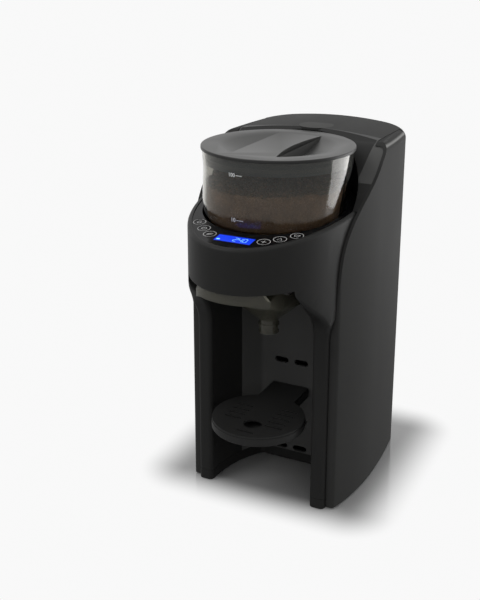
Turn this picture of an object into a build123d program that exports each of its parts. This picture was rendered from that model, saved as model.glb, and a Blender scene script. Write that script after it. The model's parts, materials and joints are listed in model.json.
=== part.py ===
from build123d import *
import os
from math import atan2, cos, degrees, hypot, pi, radians, sin, tan

os.makedirs("parts", exist_ok=True)

# A countertop baby formula maker. Millimetres, +Z up, the front faces -Y.
# Every piece is laid out from the axis of the powder container and then moved
# so that the origin is the bottom centre of the whole machine.

# ---- Overall size ----
body_width = 183.0
body_depth = 288.0
body_height = 371.0
front_reach = 110.5      # container axis to the front of the head
rear_reach = body_depth - front_reach
axis_y = front_reach - body_depth / 2

# ---- Walls and clearances ----
wall = 2.8               # moulded housings
thin_wall = 2.4          # tank, container and covers
gap = 0.3                # between pieces that are put together
seam = 0.4               # the parting line that shows between outer shells
run_fit = 0.06           # radial clearance of a turning shaft

# ---- Head: an oval drum in plan, with its underside arched up to the front ----
head_half = 85.0
head_length = 146.5      # half of the oval's long axis
head_centre = head_length - front_reach
fascia_bottom = 251.0
pillar_front = -30.0
pillar_half = 72.3       # outer face of the two front pillars
arch_start = 184.0       # height where the pillars begin to lean out into the head
waist_end = 246.0        # height where the head has its full width
pillar_round = 5.0
lip = 4.5                # rim round the glossy deck
rim_round = 3.4          # softened outer edge of that rim
ledge = 2.4              # what the deck rests on

# ---- Bay for the bottle ----
bay_half = 56.0
bay_back_half = 33.5
bay_straight = -20.0     # the side walls run straight back to here and then curve in
bay_back = 49.0
bay_corner = 8.0
bay_split = 24.0         # seam between the housing and the bay's back panel

# ---- Side panels and the plan of the body ----
panel_wall = 3.2
panel_front = -24.0
panel_front_half = 80.5
panel_nose = 4.5
widest_y = 57.0
tail_half = body_width / 2 - 5.2
rear_corner = 38.0
rear_crown = 7.0         # degrees that the rear's shallow curve turns at each end
panel_rear = 147.0
panel_rim = 365.0
panel_rim_front = 77.0
panel_round = 9.0        # rounding along the panels' top edge
mouth_half = 77.5        # opening between the panels' rounded tops, which the tank lifts through
round_front = 20.0       # the rounding starts behind the dip of the rim

# ---- Heights ----
foot_height = 1.5
base_top = 12.3
seat_top = 53.5          # top of the tank's seat
tray_top = 93.5
tray_thick = 10.5
spout_bottom = 178.0
drive_floor = 256.5      # underside of the drive deck
drive_plate = 3.0
seat_floor = 278.5       # underside of the container's seat
seat_plate = 3.0
deck_height = 308.3      # control deck at the container axis
deck_slope = 7.07        # degrees, low at the front
deck_plate = 2.0
deck_sink = 0.9          # glossy deck below the rim round it
deck_rear = 18.0         # where the deck narrows from the oval to a ring under the shroud's arms
container_hole = 71.0
lcd_width = 37.0
lcd_depth = 13.0
lcd_y = -86.4
key_radius = 6.4
key_ring = ((86.8, 18.7), (82.1, 28.7), (78.6, 40.4))
board_rear = -60.0
board_posts = ((-31.0, -86.0), (31.0, -86.0), (0.0, -76.3))
seat_outer = 73.2
tank_shoulder = 306.0
collar_top = 342.0
crown_radius = 536.0

# ---- Powder container and lid ----
container_top_radius = 75.0
container_deck_radius = 68.6
container_bottom_radius = 52.0
container_knee = 296.0
container_top = 364.8
lean_low = 318.0         # between these heights the wall leans back to the lid's axis
lean_high = 348.0
lid_y = 8.0              # lid's axis, behind the axis of the container's lower part
lid_radius = 76.0
lid_top = 368.2
lid_plate = 3.0
lid_skirt = 13.5
pocket_radius = 60.0
pocket_offset = -2.0
bar_half = 23.0
pocket_depth = 11.0
outlet_y = -41.0         # powder outlet, measured from the container axis
outlet_radius = 8.0
shroud_radius = 79.0
cup_floor = 3.0
cup_low = seat_floor + seat_plate + gap
scraper_half = 11.0
collar_radius = 9.6
seal_low = 355.2
seal_height = 3.0

# ---- Mixing drive ----
gear_module = 1.5
drive_teeth = 36
idler_teeth = 20
pinion_teeth = 16
backlash = 0.35
gear_low = 263.0
gear_width = 8.0
drive_shaft = 6.0
coupler_radius = 4.6
pin_radius = 4.0
motor_radius = 17.0
motor_length = 46.0
wheel_radius = 50.5
wheel_thick = 6.0
paddle_half = 1.3
bush_radius = 9.5
seat_posts = ((44.0, 34.0), (52.0, -30.0))

# ---- Funnel ----
spout_y = -10.0
spout_radius = 9.6
spout_length = 14.0
funnel_wall = 2.0
funnel_half = 39.0
funnel_front = -60.0
funnel_straight = 10.0   # the sides run straight back to here, then a shallow arc closes them
funnel_rear = 24.0
drum_radius = 36.6
drum_low = 215.0
basin_low = 226.0
basin_top = 250.4
rail_top = 243.5
rail_front = -62.0
rail_rear = 8.0
rail_height = 2.2
flange_width = 3.2
flange_spans = ((-58.0, -44.0), (-8.0, 6.0))
notch_half = 4.0
visor_inset = 3.2
visor_half = 38.8
visor_profile = ((-67.0, 226.0), (-97.0, 239.0), (-front_reach, 240.6))
visor_tip = -90.0        # the lip stands up ahead of here
dish_radius = 33.0
dish_low = 219.0
dish_rim = 36.4
chimney_y = -31.0
chimney_low_radius = 26.0
chimney_radius = 24.7
chimney_hole = 12.8
cover_wall = 1.8

# ---- Drip tray ----
tray_radius = 48.0
tray_centre = -33.0
tray_neck_half = 21.0
slot_half = 8.0
slot_height = 6.5
slot_pitch = 34.5
slot_first = 17.0
slot_column = 11.5
slot_rows = 4
tray_slot_row = 2
cover_thick = 2.4
tray_slots = ((-22.0, tray_centre - 14.0, 4), (24.5, tray_centre - 17.0, 5), (3.0, tray_centre - 37.0, 1))
tray_slot_length = 19.0
tray_slot_width = 2.4
tray_slot_pitch = 9.5
finger_radius = 9.5

# ---- Water tank ----
tank_front = 104.0
tank_inset = 4.2
tank_half = mouth_half - 0.7
tank_valve_y = 138.0
neck_inset = 7.2
neck_half = tank_half - 3.0
neck_top = 338.5
nozzle_radius = 11.0
tank_floor = seat_top + gap + thin_wall
valve_radius = 10.2
valve_disc = 2.0
valve_stem = 2.0
cage_radius = 13.0
spring_radius = 4.6
spring_wire = 0.6
spring_turns = 4
cage_height = 22.0
lid_front = 91.8
shroud_front = 8.0
tab_radius = 19.0
tab_reach = 6.5
tab_thick = 2.4
hinge_radius = 3.2
hinge_pin = 1.5
hinge_ear = 24.0         # the collar's two ears, each side of the middle

# ---- Power inlet ----
inlet_x = -40.0
inlet_half = 12.0
inlet_low = 21.0
inlet_tall = 17.0
inlet_deep = 20.0

# ---- Machine room behind the bay ----
room_half = 78.0
room_front = 54.0
room_rear = 101.0
room_top = 334.0
shroud_low = 262.0
shelf_half = 60.0
hose_level = 24.0
nozzle_x = 24.0
nozzle_rear = 61.0
nozzle_front = -4.0
nozzle_level = 253.4
nozzle_tip = 2.2
nozzle_hose_level = 238.0
foot_spots = ((63.5, -19.0), (72.0, 60.0), (66.0, 150.0))
housing_screws = ((64.2, -8.0),)
room_screws = ((69.0, 62.0), (69.0, 92.0))
screw_shaft = 1.5
screw_hole = 1.55
heater_radius = 19.0
heater_x = 46.0
heater_y = 76.0
heater_low = 118.0
heater_length = 92.0
pump_x = -40.0
pump_y = 76.0
pump_low = 60.0
pump_radius = 16.0
hose_radius = 4.0
port_radius = hose_radius - 1.2 - gap
pump_outlet = pump_low + 38

low_end = (Align.CENTER, Align.CENTER, Align.MIN)

deck_plane = Plane(
    origin=(0, 0, deck_height),
    x_dir=(1, 0, 0),
    z_dir=(0, -sin(radians(deck_slope)), cos(radians(deck_slope))),
)


# ---- Helpers ----
def save(name, shape):
    """Move a piece from the container axis to the machine's own origin and write it."""
    export_step(Pos(0, axis_y, 0) * shape, f"parts/{name}.step")


def prism(face, low, high):
    """An upright prism of a plan face."""
    return Pos(0, 0, low) * extrude(face, high - low)


def block(x, y, z):
    """A box given by its two limits along each axis."""
    middle = [(pair[0] + pair[1]) / 2 for pair in (x, y, z)]
    return Pos(*middle) * Box(x[1] - x[0], y[1] - y[0], z[1] - z[0])


def rod(radius, low, high, x=0.0, y=0.0):
    """An upright round rod."""
    return Pos(x, y, (low + high) / 2) * Cylinder(radius, high - low)


def tube(outer, inner, low, high, x=0.0, y=0.0):
    """An upright round tube."""
    return rod(outer, low, high, x, y) - rod(inner, low, high, x, y)


def slab(front, rear, half=body_width):
    """A plan rectangle between two distances behind the container axis."""
    return Pos(0, (front + rear) / 2) * Rectangle(2 * half, rear - front)


def mirrored(shape):
    """A piece together with its mirror image on the other side of the machine."""
    return shape + mirror(shape, about=Plane.YZ)


def head_face(inset=0.0):
    """Plan of the head: an oval."""
    return Pos(0, head_centre) * Ellipse(head_half - inset, head_length - inset)


def body_face(inset=0.0):
    """Plan of the body inside the side panels' outer faces, with its rounded rear."""
    half = body_width / 2
    back_turn = radians(rear_crown)
    tail_y = widest_y + tail_run()
    with BuildSketch() as sketch:
        with BuildLine():
            front = TangentArc((half, widest_y), (panel_front_half, panel_front), tangent=(0, -1))
            tail = TangentArc((half, widest_y), (tail_half, tail_y), tangent=(0, 1))
            turn = degrees(pi - back_turn) - degrees(atan2((tail % 1).Y, (tail % 1).X))
            corner = JernArc(tail @ 1, tail % 1, rear_corner, turn)
            end = corner @ 1
            TangentArc(end, (-end.X, end.Y), tangent=corner % 1)
            mirror(front, about=Plane.YZ)
            mirror(tail, about=Plane.YZ)
            mirror(corner, about=Plane.YZ)
            Line((-panel_front_half, panel_front), (panel_front_half, panel_front))
        make_face()
        noses = [v for v in sketch.vertices() if v.Y < panel_front + 1]
        fillet(noses, panel_nose)
    return offset(sketch.sketch, -inset) if inset else sketch.sketch


def tail_run():
    """Length from the widest point to the rear corner that brings the back to its place."""
    fall = body_width / 2 - tail_half
    run = rear_reach - widest_y - rear_corner
    for _ in range(20):
        heading = pi / 2 + 2 * atan2(fall, run)
        turn = pi - radians(rear_crown)
        corner_x = tail_half + rear_corner * (sin(turn) - sin(heading))
        corner_rise = rear_corner * (cos(heading) - cos(turn))
        back_rise = corner_x * tan(radians(rear_crown) / 2)
        run = rear_reach - widest_y - corner_rise - back_rise
    return run


def rear_face(inside, outside, front, half=body_width):
    """Plan of a rear piece: inside the panels, then out to their face behind their rear edge."""
    inner = body_face(inside) & slab(front, panel_rear + seam + 1, half)
    outer = body_face(outside) & slab(panel_rear + seam, rear_reach + 1)
    return inner + outer


def bay_face(outset=0.0):
    """Plan of the bottle bay, open to the front."""
    mouth = -front_reach - 2 * wall
    with BuildSketch() as sketch:
        with BuildLine():
            side = TangentArc((bay_half, bay_straight), (bay_back_half, bay_back), tangent=(0, 1))
            mirror(side, about=Plane.YZ)
            Line((-bay_back_half, bay_back), (bay_back_half, bay_back))
            Polyline(
                (-bay_half, bay_straight), (-bay_half, mouth), (bay_half, mouth), (bay_half, bay_straight)
            )
        make_face()
        corners = [v for v in sketch.vertices() if v.Y > bay_back - 1]
        fillet(corners, bay_corner)
    return offset(sketch.sketch, outset) if outset else sketch.sketch


def arch_solid(shift=0.0):
    """Everything behind and above the curve from the pillars' front up to the fascia's lower edge."""
    nose = -front_reach - 10
    with BuildSketch(Plane.YZ) as sketch:
        with BuildLine():
            rise = Spline(
                (pillar_front, arch_start),
                (-57, 227),
                (-94, fascia_bottom),
                tangents=[(0, 1), (-1, 0.15)],
            )
            Polyline(
                rise @ 1, (nose, fascia_bottom), (nose, body_height), (rear_reach, body_height),
                (rear_reach, 0), (pillar_front, 0), rise @ 0,
            )
        make_face()
    return Pos(0, shift, shift) * extrude(sketch.sketch, body_width, both=True)


def waist_solid(inset=0.0):
    """Everything between the outer faces, which lean in from the head down to the pillars."""
    low = pillar_half - inset
    high = head_half + 1 - inset
    with BuildSketch(Plane.XZ) as sketch:
        with BuildLine():
            side = Spline((low, arch_start), (high, waist_end), tangents=[(0, 1), (0, 1)])
            mirror(side, about=Plane.YZ)
            Polyline((-low, arch_start), (-low, 0), (low, 0), (low, arch_start))
            Polyline((-high, waist_end), (-high, body_height), (high, body_height), (high, waist_end))
        make_face()
    return extrude(sketch.sketch, 2 * body_depth, both=True)


def above_deck(lift=0.0):
    """Everything above the tilted control deck."""
    size = 2 * body_depth
    return deck_plane * (Pos(0, 0, lift + size / 2) * Box(size, size, size))


def rim_solid(drop=0.0):
    """Everything below and behind the side panels' front and top edge."""
    with BuildSketch(Plane.YZ) as sketch:
        with BuildLine():
            edge = Spline(
                (panel_front, 60),
                (panel_front + 1, 236),
                (-14.5, 282),
                (18, 319),
                (48, 341.5),
                (66, 358.5),
                (panel_rim_front, panel_rim),
                tangents=[(0, 1), (1, 0.35)],
            )
            high = body_height + 2
            Polyline(
                edge @ 1, (lid_front, high), (rear_reach, high), (rear_reach, 0), (panel_front, 0), edge @ 0
            )
        make_face()
    return Pos(0, 0, -drop) * extrude(sketch.sketch, body_width, both=True)


def crown_solid(drop=0.0):
    """Everything below the crowned top."""
    lie = Pos(0, 0, body_height - crown_radius - drop)
    return lie * Rot(X=90) * Cylinder(crown_radius, 3 * body_depth)


def shell_solid(inset=0.0):
    """The body's outer form up to the panels' rounded top edge, or the same form made smaller."""
    high = panel_rim - inset
    front = prism(body_face(inset) & slab(panel_front - 1, round_front), 0, high)
    rear = prism(body_face(inset) & slab(round_front, rear_reach + 1), 0, high)
    tops = [e for e in rear.edges() if e.center().Z > high - 0.1 and e.center().Y > round_front + 0.1]
    return front + fillet(tops, panel_round - inset)


def cap_solid(inset=0.0):
    """The space between the side panels and under the crown."""
    low = shell_solid(panel_wall + gap + inset)
    between = body_face(panel_wall + gap + inset) & slab(panel_front, rear_reach, mouth_half - gap - inset)
    high = prism(between, panel_rim - 3 * panel_wall, body_height)
    return (low + high) & crown_solid(inset)


def gear_face(teeth, first_tooth):
    """Plan of a spur gear with straight flanks."""
    pitch = teeth * gear_module / 2
    radii = (pitch - 1.25 * gear_module, pitch + 0.9 * gear_module)
    half = pi / (2 * teeth) - backlash / (2 * pitch)
    lean = tan(radians(20))
    points = []
    for tooth in range(teeth):
        middle = radians(first_tooth) + 2 * pi * tooth / teeth
        for side, radius in ((-1, radii[0]), (-1, radii[1]), (1, radii[1]), (1, radii[0])):
            turn = middle + side * (half - (radius - pitch) * lean / pitch)
            points.append((radius * cos(turn), radius * sin(turn)))
    return make_face(Polyline(*points, close=True))


def hose(points, radii, outer=hose_radius, inner=hose_radius - 1.2):
    """A hose along straight runs joined by arcs."""
    path = FilletPolyline(*points, radius=radii)
    start = Plane(origin=path @ 0, z_dir=path % 0)
    ring = start * (Circle(outer) - Circle(inner))
    return sweep(ring, path=path)


# ---- Base ----
def base_frame():
    """Bottom tray under the pillars, the machine room and the tank's seat."""
    footprint = (head_face() & slab(pillar_front, widest_y)) & slab(-front_reach, rear_reach, pillar_half)
    footprint += rear_face(panel_wall + gap, 0, panel_front + 8)
    footprint -= bay_face()
    inner = (head_face(wall) & slab(pillar_front + wall, widest_y))
    inner = (inner & slab(-front_reach, rear_reach, pillar_half - wall))
    inner += rear_face(panel_wall + gap + wall, wall, panel_front + 8)
    inner -= bay_face(wall)
    tray = prism(footprint, foot_height, base_top)
    fronts = [e for e in tray.edges().filter_by(Axis.Z) if e.center().Y < pillar_front + 1]
    tray = fillet(fronts, pillar_round)
    tray -= prism(inner, foot_height + wall, base_top)
    for x, y in mirrored_spots(housing_screws + room_screws):
        tray += rod(4.5, foot_height, base_top, x, y) & prism(footprint, 0, base_top)
        tray -= rod(screw_hole + 0.1, 0, base_top + 1, x, y) + rod(3.2, 0, foot_height + 2.2, x, y)
    return tray


# ---- Front housing: the head, the two pillars and the bay's side walls ----
def front_housing():
    bottom = base_top + gap
    plate_seat = -deck_sink - deck_plate
    solid_head = prism(head_face() & slab(-front_reach, bay_split), bottom, body_height)
    solid_head = (solid_head & arch_solid() & waist_solid()) - above_deck()
    solid_head -= prism(bay_face(), 0, fascia_bottom)
    corners = solid_head.edges().filter_by(pillar_edge)
    skin = fillet(corners, pillar_round)
    brim = [e for e in skin.edges() if e.center().Z > seat_floor and e.bounding_box().size.Y > front_reach]
    skin = fillet(brim, rim_round)
    cavity = prism(head_face(wall), 0, body_height) & arch_solid(wall) & waist_solid(wall)
    cavity -= above_deck(plate_seat - ledge)
    cavity -= prism(bay_face(wall) - bay_face(), 0, drive_floor)
    mouth = prism(head_face(lip + ledge), seat_floor, body_height) & above_deck(plate_seat - ledge - gap)
    recess = prism(head_face(lip), seat_floor, body_height) & above_deck(plate_seat)
    housing = skin - cavity - mouth - recess
    for x, y in mirrored_spots(housing_screws):
        boss = rod(5.5, bottom, bottom + 12, x, y)
        boss &= prism(head_face(wall / 2) - bay_face(wall / 2), 0, body_height)
        housing += boss & waist_solid(wall / 2)
        housing -= rod(screw_hole, 0, bottom + 11, x, y)
    return housing


def pillar_edge(edge):
    """True for the edges that run up the front of the pillars and under the head."""
    box = edge.bounding_box()
    upright = box.size.Z > 20 and box.max.Y < pillar_front + 1
    return upright and box.max.Z < waist_end + 10


def bay_back_panel():
    """Curved rear of the bay with two columns of slots for the tray's hooks."""
    panel = prism(bay_face(wall) - bay_face(), base_top + gap, drive_floor - gap)
    panel &= block((-bay_half, bay_half), (bay_split + seam, bay_back + wall), (0, drive_floor))
    panel -= block(
        (nozzle_x - nozzle_tip - gap, nozzle_x + nozzle_tip + gap),
        (bay_split, bay_back + 2 * wall),
        (nozzle_level - nozzle_tip - gap, drive_floor),
    )
    for row in range(slot_rows):
        for side in (-1, 1):
            slot = extrude(Rot(X=90) * SlotOverall(2 * slot_half, slot_height), 2 * wall, both=True)
            panel -= Pos(side * slot_column, bay_back, slot_first + row * slot_pitch) * slot
    return panel


# ---- Side panels ----
def side_panel(side):
    """Outer shell of one side, from its rounded nose back to the tank."""
    bottom = foot_height + 0.5
    shell = shell_solid() - shell_solid(panel_wall)
    shell -= prism(slab(panel_front, rear_reach, mouth_half), panel_rim - 3 * panel_wall, body_height)
    span = (min(0, side * body_width), max(0, side * body_width))
    shell &= block(span, (panel_front, panel_rear), (bottom, body_height))
    shell &= rim_solid()
    waist = prism(head_face(-gap) & slab(-front_reach, widest_y), 0, body_height) & waist_solid(-gap)
    return (shell - waist).solids().sort_by(SortBy.VOLUME)[-1]


# ---- Rear: tank seat, tank, collar and lid ----
def tank_seat():
    """Step at the rear that the water tank stands on, with the power inlet's opening."""
    bottom = base_top + gap
    inset = panel_wall + gap
    outer = prism(rear_face(inset, 0, room_rear + gap), bottom, seat_top)
    inner = prism(rear_face(inset + wall, wall, room_rear + gap + wall), bottom, seat_top - wall)
    seat = outer - inner
    well = nozzle_radius + 2 * gap
    seat -= rod(well, seat_top - 2 * wall, seat_top + 1, 0, tank_valve_y)
    seat += tube(well + wall, hose_radius, seat_top - 14, seat_top - 12, 0, tank_valve_y)
    seat += tube(well + wall, well, seat_top - 14, seat_top - wall / 2, 0, tank_valve_y)
    seat -= block(inlet_span(gap), (rear_reach - 3 * wall, rear_reach + 1), inlet_height(gap))
    seat -= Pos(0, room_rear + wall, hose_level) * (Rot(X=90) * Cylinder(hose_radius + 2, 4 * wall))
    return seat


def inlet_span(clearance=0.0):
    """Left and right limits of the power inlet."""
    return (inlet_x - inlet_half - clearance, inlet_x + inlet_half + clearance)


def inlet_height(clearance=0.0):
    """Lower and upper limits of the power inlet."""
    return (inlet_low - clearance, inlet_low + inlet_tall + clearance)


def power_inlet():
    """Socket for a detachable mains lead: a shroud with two pins."""
    rear = rear_reach - 0.8
    shell = block(inlet_span(), (rear - inlet_deep, rear), inlet_height())
    x_limits = (inlet_x - inlet_half + 2, inlet_x + inlet_half - 2)
    z_limits = (inlet_low + 2, inlet_low + inlet_tall - 2)
    shell -= block(x_limits, (rear - inlet_deep + 3, rear + 1), z_limits)
    for side in (-1, 1):
        pin = Rot(X=90) * Cylinder(1.2, inlet_deep - 4)
        middle = rear - inlet_deep + 1 + (inlet_deep - 4) / 2
        shell += Pos(inlet_x + side * 4.3, middle, inlet_low + inlet_tall / 2) * pin
    return shell


def water_tank():
    """Open-topped tank with a narrower neck inside the collar and a nozzle below."""
    body = prism(rear_face(tank_inset, 1.0, tank_front, tank_half), seat_top + gap, tank_shoulder)
    neck = prism(body_face(neck_inset) & slab(tank_front + 3, rear_reach, neck_half), tank_shoulder, neck_top)
    inner_front = tank_front + thin_wall
    inner = prism(
        rear_face(tank_inset + thin_wall, 1.0 + thin_wall, inner_front, tank_half - thin_wall),
        tank_floor,
        tank_shoulder - thin_wall,
    )
    neck_plan = body_face(neck_inset + thin_wall) & slab(inner_front + 3, rear_reach, neck_half - thin_wall)
    inner_neck = prism(neck_plan, tank_shoulder - 2 * thin_wall, body_height)
    tank = (body + neck) - inner - inner_neck
    tank += tube(nozzle_radius, nozzle_radius - thin_wall, seat_top - 11, tank_floor, 0, tank_valve_y)
    tank -= rod(nozzle_radius - thin_wall, 0, tank_floor + 1, 0, tank_valve_y)
    return tank


def tank_collar():
    """Frame round the tank's neck, with the fill opening and the lid's hinge ears."""
    outer = prism(rear_face(tank_inset, 0, tank_front, tank_half), tank_shoulder + seam, collar_top)
    hollow = body_face(neck_inset - gap) & slab(tank_front + 3 - gap, rear_reach, neck_half + gap)
    outer -= prism(hollow, tank_shoulder, neck_top + gap)
    fill = body_face(neck_inset + 9) & slab(tank_front + 14, rear_reach - 21, neck_half - 9)
    outer -= prism(fill, tank_shoulder, body_height)
    hinge_y, hinge_z = hinge_axis()
    for middle in (-hinge_ear, hinge_ear):
        span = (middle - 2.0, middle + 2.0)
        ear = block(span, (hinge_y - hinge_radius, hinge_y + 1.6), (collar_top - 1, hinge_z))
        ear += Pos(middle, hinge_y, hinge_z) * (Rot(Y=90) * Cylinder(hinge_radius - 0.2, 4.0))
        outer += ear
    bore = Pos(0, hinge_y, hinge_z) * (Rot(Y=90) * Cylinder(hinge_pin, 80))
    return outer - bore


def hinge_axis():
    """Distance back and height of the tank lid's hinge."""
    return rear_reach - hinge_radius, collar_top + gap + hinge_radius


def tank_hinge_pin():
    """Steel pin through the collar's ears and the lid."""
    hinge_y, hinge_z = hinge_axis()
    return Pos(0, hinge_y, hinge_z) * (Rot(Y=90) * Cylinder(hinge_pin, 56))


def tank_lid():
    """Crowned lid over the tank with a finger tab at its front."""
    bottom = collar_top + gap
    hinge_y, hinge_z = hinge_axis()
    cover = rear_hood()
    rear_low = [
        e for e in cover.edges()
        if e.center().Z < bottom + 0.1 and e.center().Y > rear_reach - 3 and e.bounding_box().size.X > 60
    ]
    cover = fillet(rear_low, hinge_radius - 0.1)
    hollow = rear_hood(thin_wall)
    hollow -= block((-34, 34), (hinge_y - 2 * hinge_radius, rear_reach), (0, body_height))
    cover -= hollow
    tab = prism(tab_face() & slab(0, lid_front + thin_wall), collar_top, body_height) & crown_solid()
    cover += tab - crown_solid(tab_thick)
    for middle in (-hinge_ear, hinge_ear):
        span = (middle - 2.4, middle + 2.4)
        notch = Pos(middle, hinge_y, hinge_z) * (Rot(Y=90) * Cylinder(hinge_radius + gap, 4.8))
        notch += block(span, (hinge_y - hinge_radius - gap, rear_reach + 1), (0, hinge_z))
        cover -= notch
    bore = Pos(0, hinge_y, hinge_z) * (Rot(Y=90) * Cylinder(hinge_pin + run_fit, 80))
    return cover - bore


def rear_hood(inset=0.0):
    """Form of the tank's lid: between the panels, then out to their face, with a rounded top."""
    plan = rear_face(panel_wall + 1 + inset, inset, lid_front + inset, mouth_half - seam - inset)
    hood = prism(plan, collar_top + gap - inset, body_height) & crown_solid(inset)
    high = panel_rim - panel_round
    tops = [e for e in hood.edges() if e.center().Z > high and e.center().Y > panel_rear + 2 * thin_wall]
    return fillet([e for e in tops if e.bounding_box().size.Z < panel_round], panel_round - inset)


def tab_face(grow=0.0):
    """Plan of the finger tab at the front of the tank's lid."""
    return Pos(0, lid_front + tab_radius - tab_reach) * Circle(tab_radius + grow)


def tank_valve():
    """Poppet that closes the tank's outlet from inside and is lifted to open it."""
    disc = tank_floor + gap
    valve = rod(valve_radius, disc, disc + valve_disc, 0, tank_valve_y)
    return valve + rod(valve_stem, seat_top - 8, tank_floor + cage_height + 2, 0, tank_valve_y)


def tank_valve_cage():
    """Cage over the valve that holds its spring, standing on the tank's floor."""
    high = tank_floor + cage_height
    cage = tube(cage_radius, cage_radius - 2, tank_floor, high, 0, tank_valve_y)
    cage += tube(cage_radius, valve_stem + run_fit, high - 2, high, 0, tank_valve_y)
    for turn in range(4):
        window = Box(8, 40, cage_height - 10)
        cage -= Pos(0, tank_valve_y, tank_floor + 4 + (cage_height - 10) / 2) * (Rot(Z=45 * turn) * window)
    return cage


def tank_valve_spring():
    """Spring that closes the valve."""
    low = tank_floor + gap + valve_disc + spring_wire + 0.2
    high = tank_floor + cage_height - 2 - spring_wire - 0.2
    coil = Helix(pitch=(high - low) / spring_turns, height=high - low, radius=spring_radius)
    wire = Plane(origin=coil @ 0, z_dir=coil % 0) * RegularPolygon(spring_wire, 6)
    return Pos(0, tank_valve_y, low) * sweep(wire, path=coil)


# ---- Top shroud behind the container ----
def top_shroud():
    """Cowl between the side panels, hollowed to a cylinder round the container."""
    rear = lid_front - seam
    outer = cap_solid() & prism(slab(shroud_front, rear), 0, body_height) & rim_solid(1.2)
    outer = (outer & above_deck(gap)) - rod(shroud_radius, 0, body_height, 0, lid_y)
    outer -= prism(tab_face(gap), 0, body_height) - crown_solid(tab_thick + gap)
    inner = cap_solid(thin_wall) & prism(slab(shroud_front + thin_wall, rear - thin_wall), 0, body_height)
    inner &= rim_solid(1.2 + thin_wall)
    inner -= rod(shroud_radius + thin_wall, 0, body_height, 0, lid_y)
    inner -= prism(tab_face(gap + thin_wall), 0, body_height) - crown_solid(tab_thick + gap + thin_wall)
    return (outer - inner).solids().sort_by(SortBy.VOLUME)[-1]


# ---- Control deck ----
def deck_layer(plan, low, high):
    """A layer of the tilted deck between two depths, cut to a plan."""
    return (prism(plan, seat_floor - 40, body_height) & above_deck(low)) - above_deck(high)


def control_deck():
    """Glossy ring round the container with a window for the display and six touch keys."""
    plan = head_face(lip + gap) & slab(-front_reach, deck_rear)
    plan += Pos(0, lid_y) * Circle(shroud_radius - gap) & slab(deck_rear - 1, body_depth)
    plate = deck_layer(plan - Circle(container_hole), -deck_sink - deck_plate, -deck_sink)
    for spot in board_posts:
        plate += on_deck(Pos(0, 0, -deck_plate - 2.5) * Cylinder(2.0, 5.2), spot, -deck_sink)
    plate -= on_deck(Box(lcd_width + 0.6, lcd_depth + 0.6, 20), (0, lcd_y))
    for spot in key_spots():
        plate -= on_deck(Cylinder(key_radius + 0.1, 1.2), spot, -deck_sink)
    return plate


def on_deck(shape, spot, lift=0.0):
    """Put a shape on the tilted deck above a point of the plan."""
    rise = deck_height + spot[1] * tan(radians(deck_slope))
    return Pos(spot[0], spot[1], rise) * Rot(X=deck_slope) * Pos(0, 0, lift) * shape


def key_spots():
    """Places of the touch keys, three each side of the display."""
    spots = []
    for side in (-1, 1):
        for reach, turn in key_ring:
            angle = radians(turn)
            spots.append((side * reach * sin(angle), -reach * cos(angle)))
    return spots


def lcd_display():
    """Backlit display set in the deck's window."""
    return on_deck(Pos(0, 0, -1.5) * Box(lcd_width, lcd_depth, 3.0), (0, lcd_y), -deck_sink - 0.1)


def key_rings():
    """Raised ring and centre mark of each touch key."""
    rings = []
    for spot in key_spots():
        ring = Cylinder(key_radius, 0.5) - Cylinder(key_radius - 0.8, 1)
        rings.append(on_deck(Pos(0, 0, -0.25) * ring, spot, -deck_sink + 0.1))
    return Compound(rings)


def control_board():
    """Circuit board under the keys and the display."""
    top = -deck_sink - deck_plate - 5.1
    plan = (head_face(lip + ledge + 2) & slab(-front_reach, board_rear, 46.0)) - Circle(seat_outer + 1)
    board = deck_layer(plan, top - 1.6, top)
    return board.solids().sort_by(SortBy.VOLUME)[-1]


# ---- Container, its lid and the mixing wheel ----
def container_radius(height):
    """Outer radius of the container's flaring wall at a height."""
    flare = (container_top_radius - container_deck_radius) / (container_top - container_knee)
    return container_deck_radius + flare * (height - container_knee)


def cup_solid(inset, low):
    """The container's outer form, or with an inset the space inside it, open above."""
    with BuildSketch(Plane.XZ) as sketch:
        with BuildLine():
            base = Line((0, low), (container_bottom_radius - inset, low))
            knee = TangentArc(base @ 1, (container_deck_radius - inset, container_knee), tangent=(1, 0))
            Polyline(knee @ 1, (container_radius(lean_low) - inset, lean_low), (0, lean_low), (0, low))
        make_face()
    lower = revolve(sketch.sketch, axis=Axis.Z)
    leaning = loft([
        Pos(0, 0, lean_low) * Circle(container_radius(lean_low) - inset),
        Pos(0, lid_y, lean_high) * Circle(container_radius(lean_high) - inset),
    ])
    upper = Pos(0, lid_y, (lean_high + body_height) / 2) * Cone(
        container_radius(lean_high) - inset, container_radius(body_height) - inset, body_height - lean_high
    )
    return lower + leaning + upper


def powder_container():
    """Clear cup with a collar for the coupler and an outlet hole in its floor."""
    cup = cup_solid(0, cup_low) - cup_solid(thin_wall, cup_low + cup_floor)
    cup &= rod(lid_radius + lid_y, 0, container_top)
    cup -= rod(outlet_radius, 0, body_height, 0, outlet_y)
    cup += rod(collar_radius, cup_low + 0.1, cup_low + cup_floor + 2.5)
    return cup - rod(collar_radius - 2.2, 0, body_height)


def container_scraper():
    """Plate that levels the powder over the outlet as the wheel passes under it."""
    low = cup_low + cup_floor
    plate_low = low + wheel_thick + 1.2
    reach = wheel_radius + 6
    span = (-scraper_half, scraper_half)
    blade = rod(reach, plate_low, plate_low + 1.2) - rod(collar_radius + 9, 0, body_height)
    blade &= block(span, (-reach, outlet_y + 14), (0, body_height))
    blade += block(span, (-reach, -wheel_radius - 0.8), (low, plate_low + 1.2))
    return blade & cup_solid(thin_wall + gap, low + gap)


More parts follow.
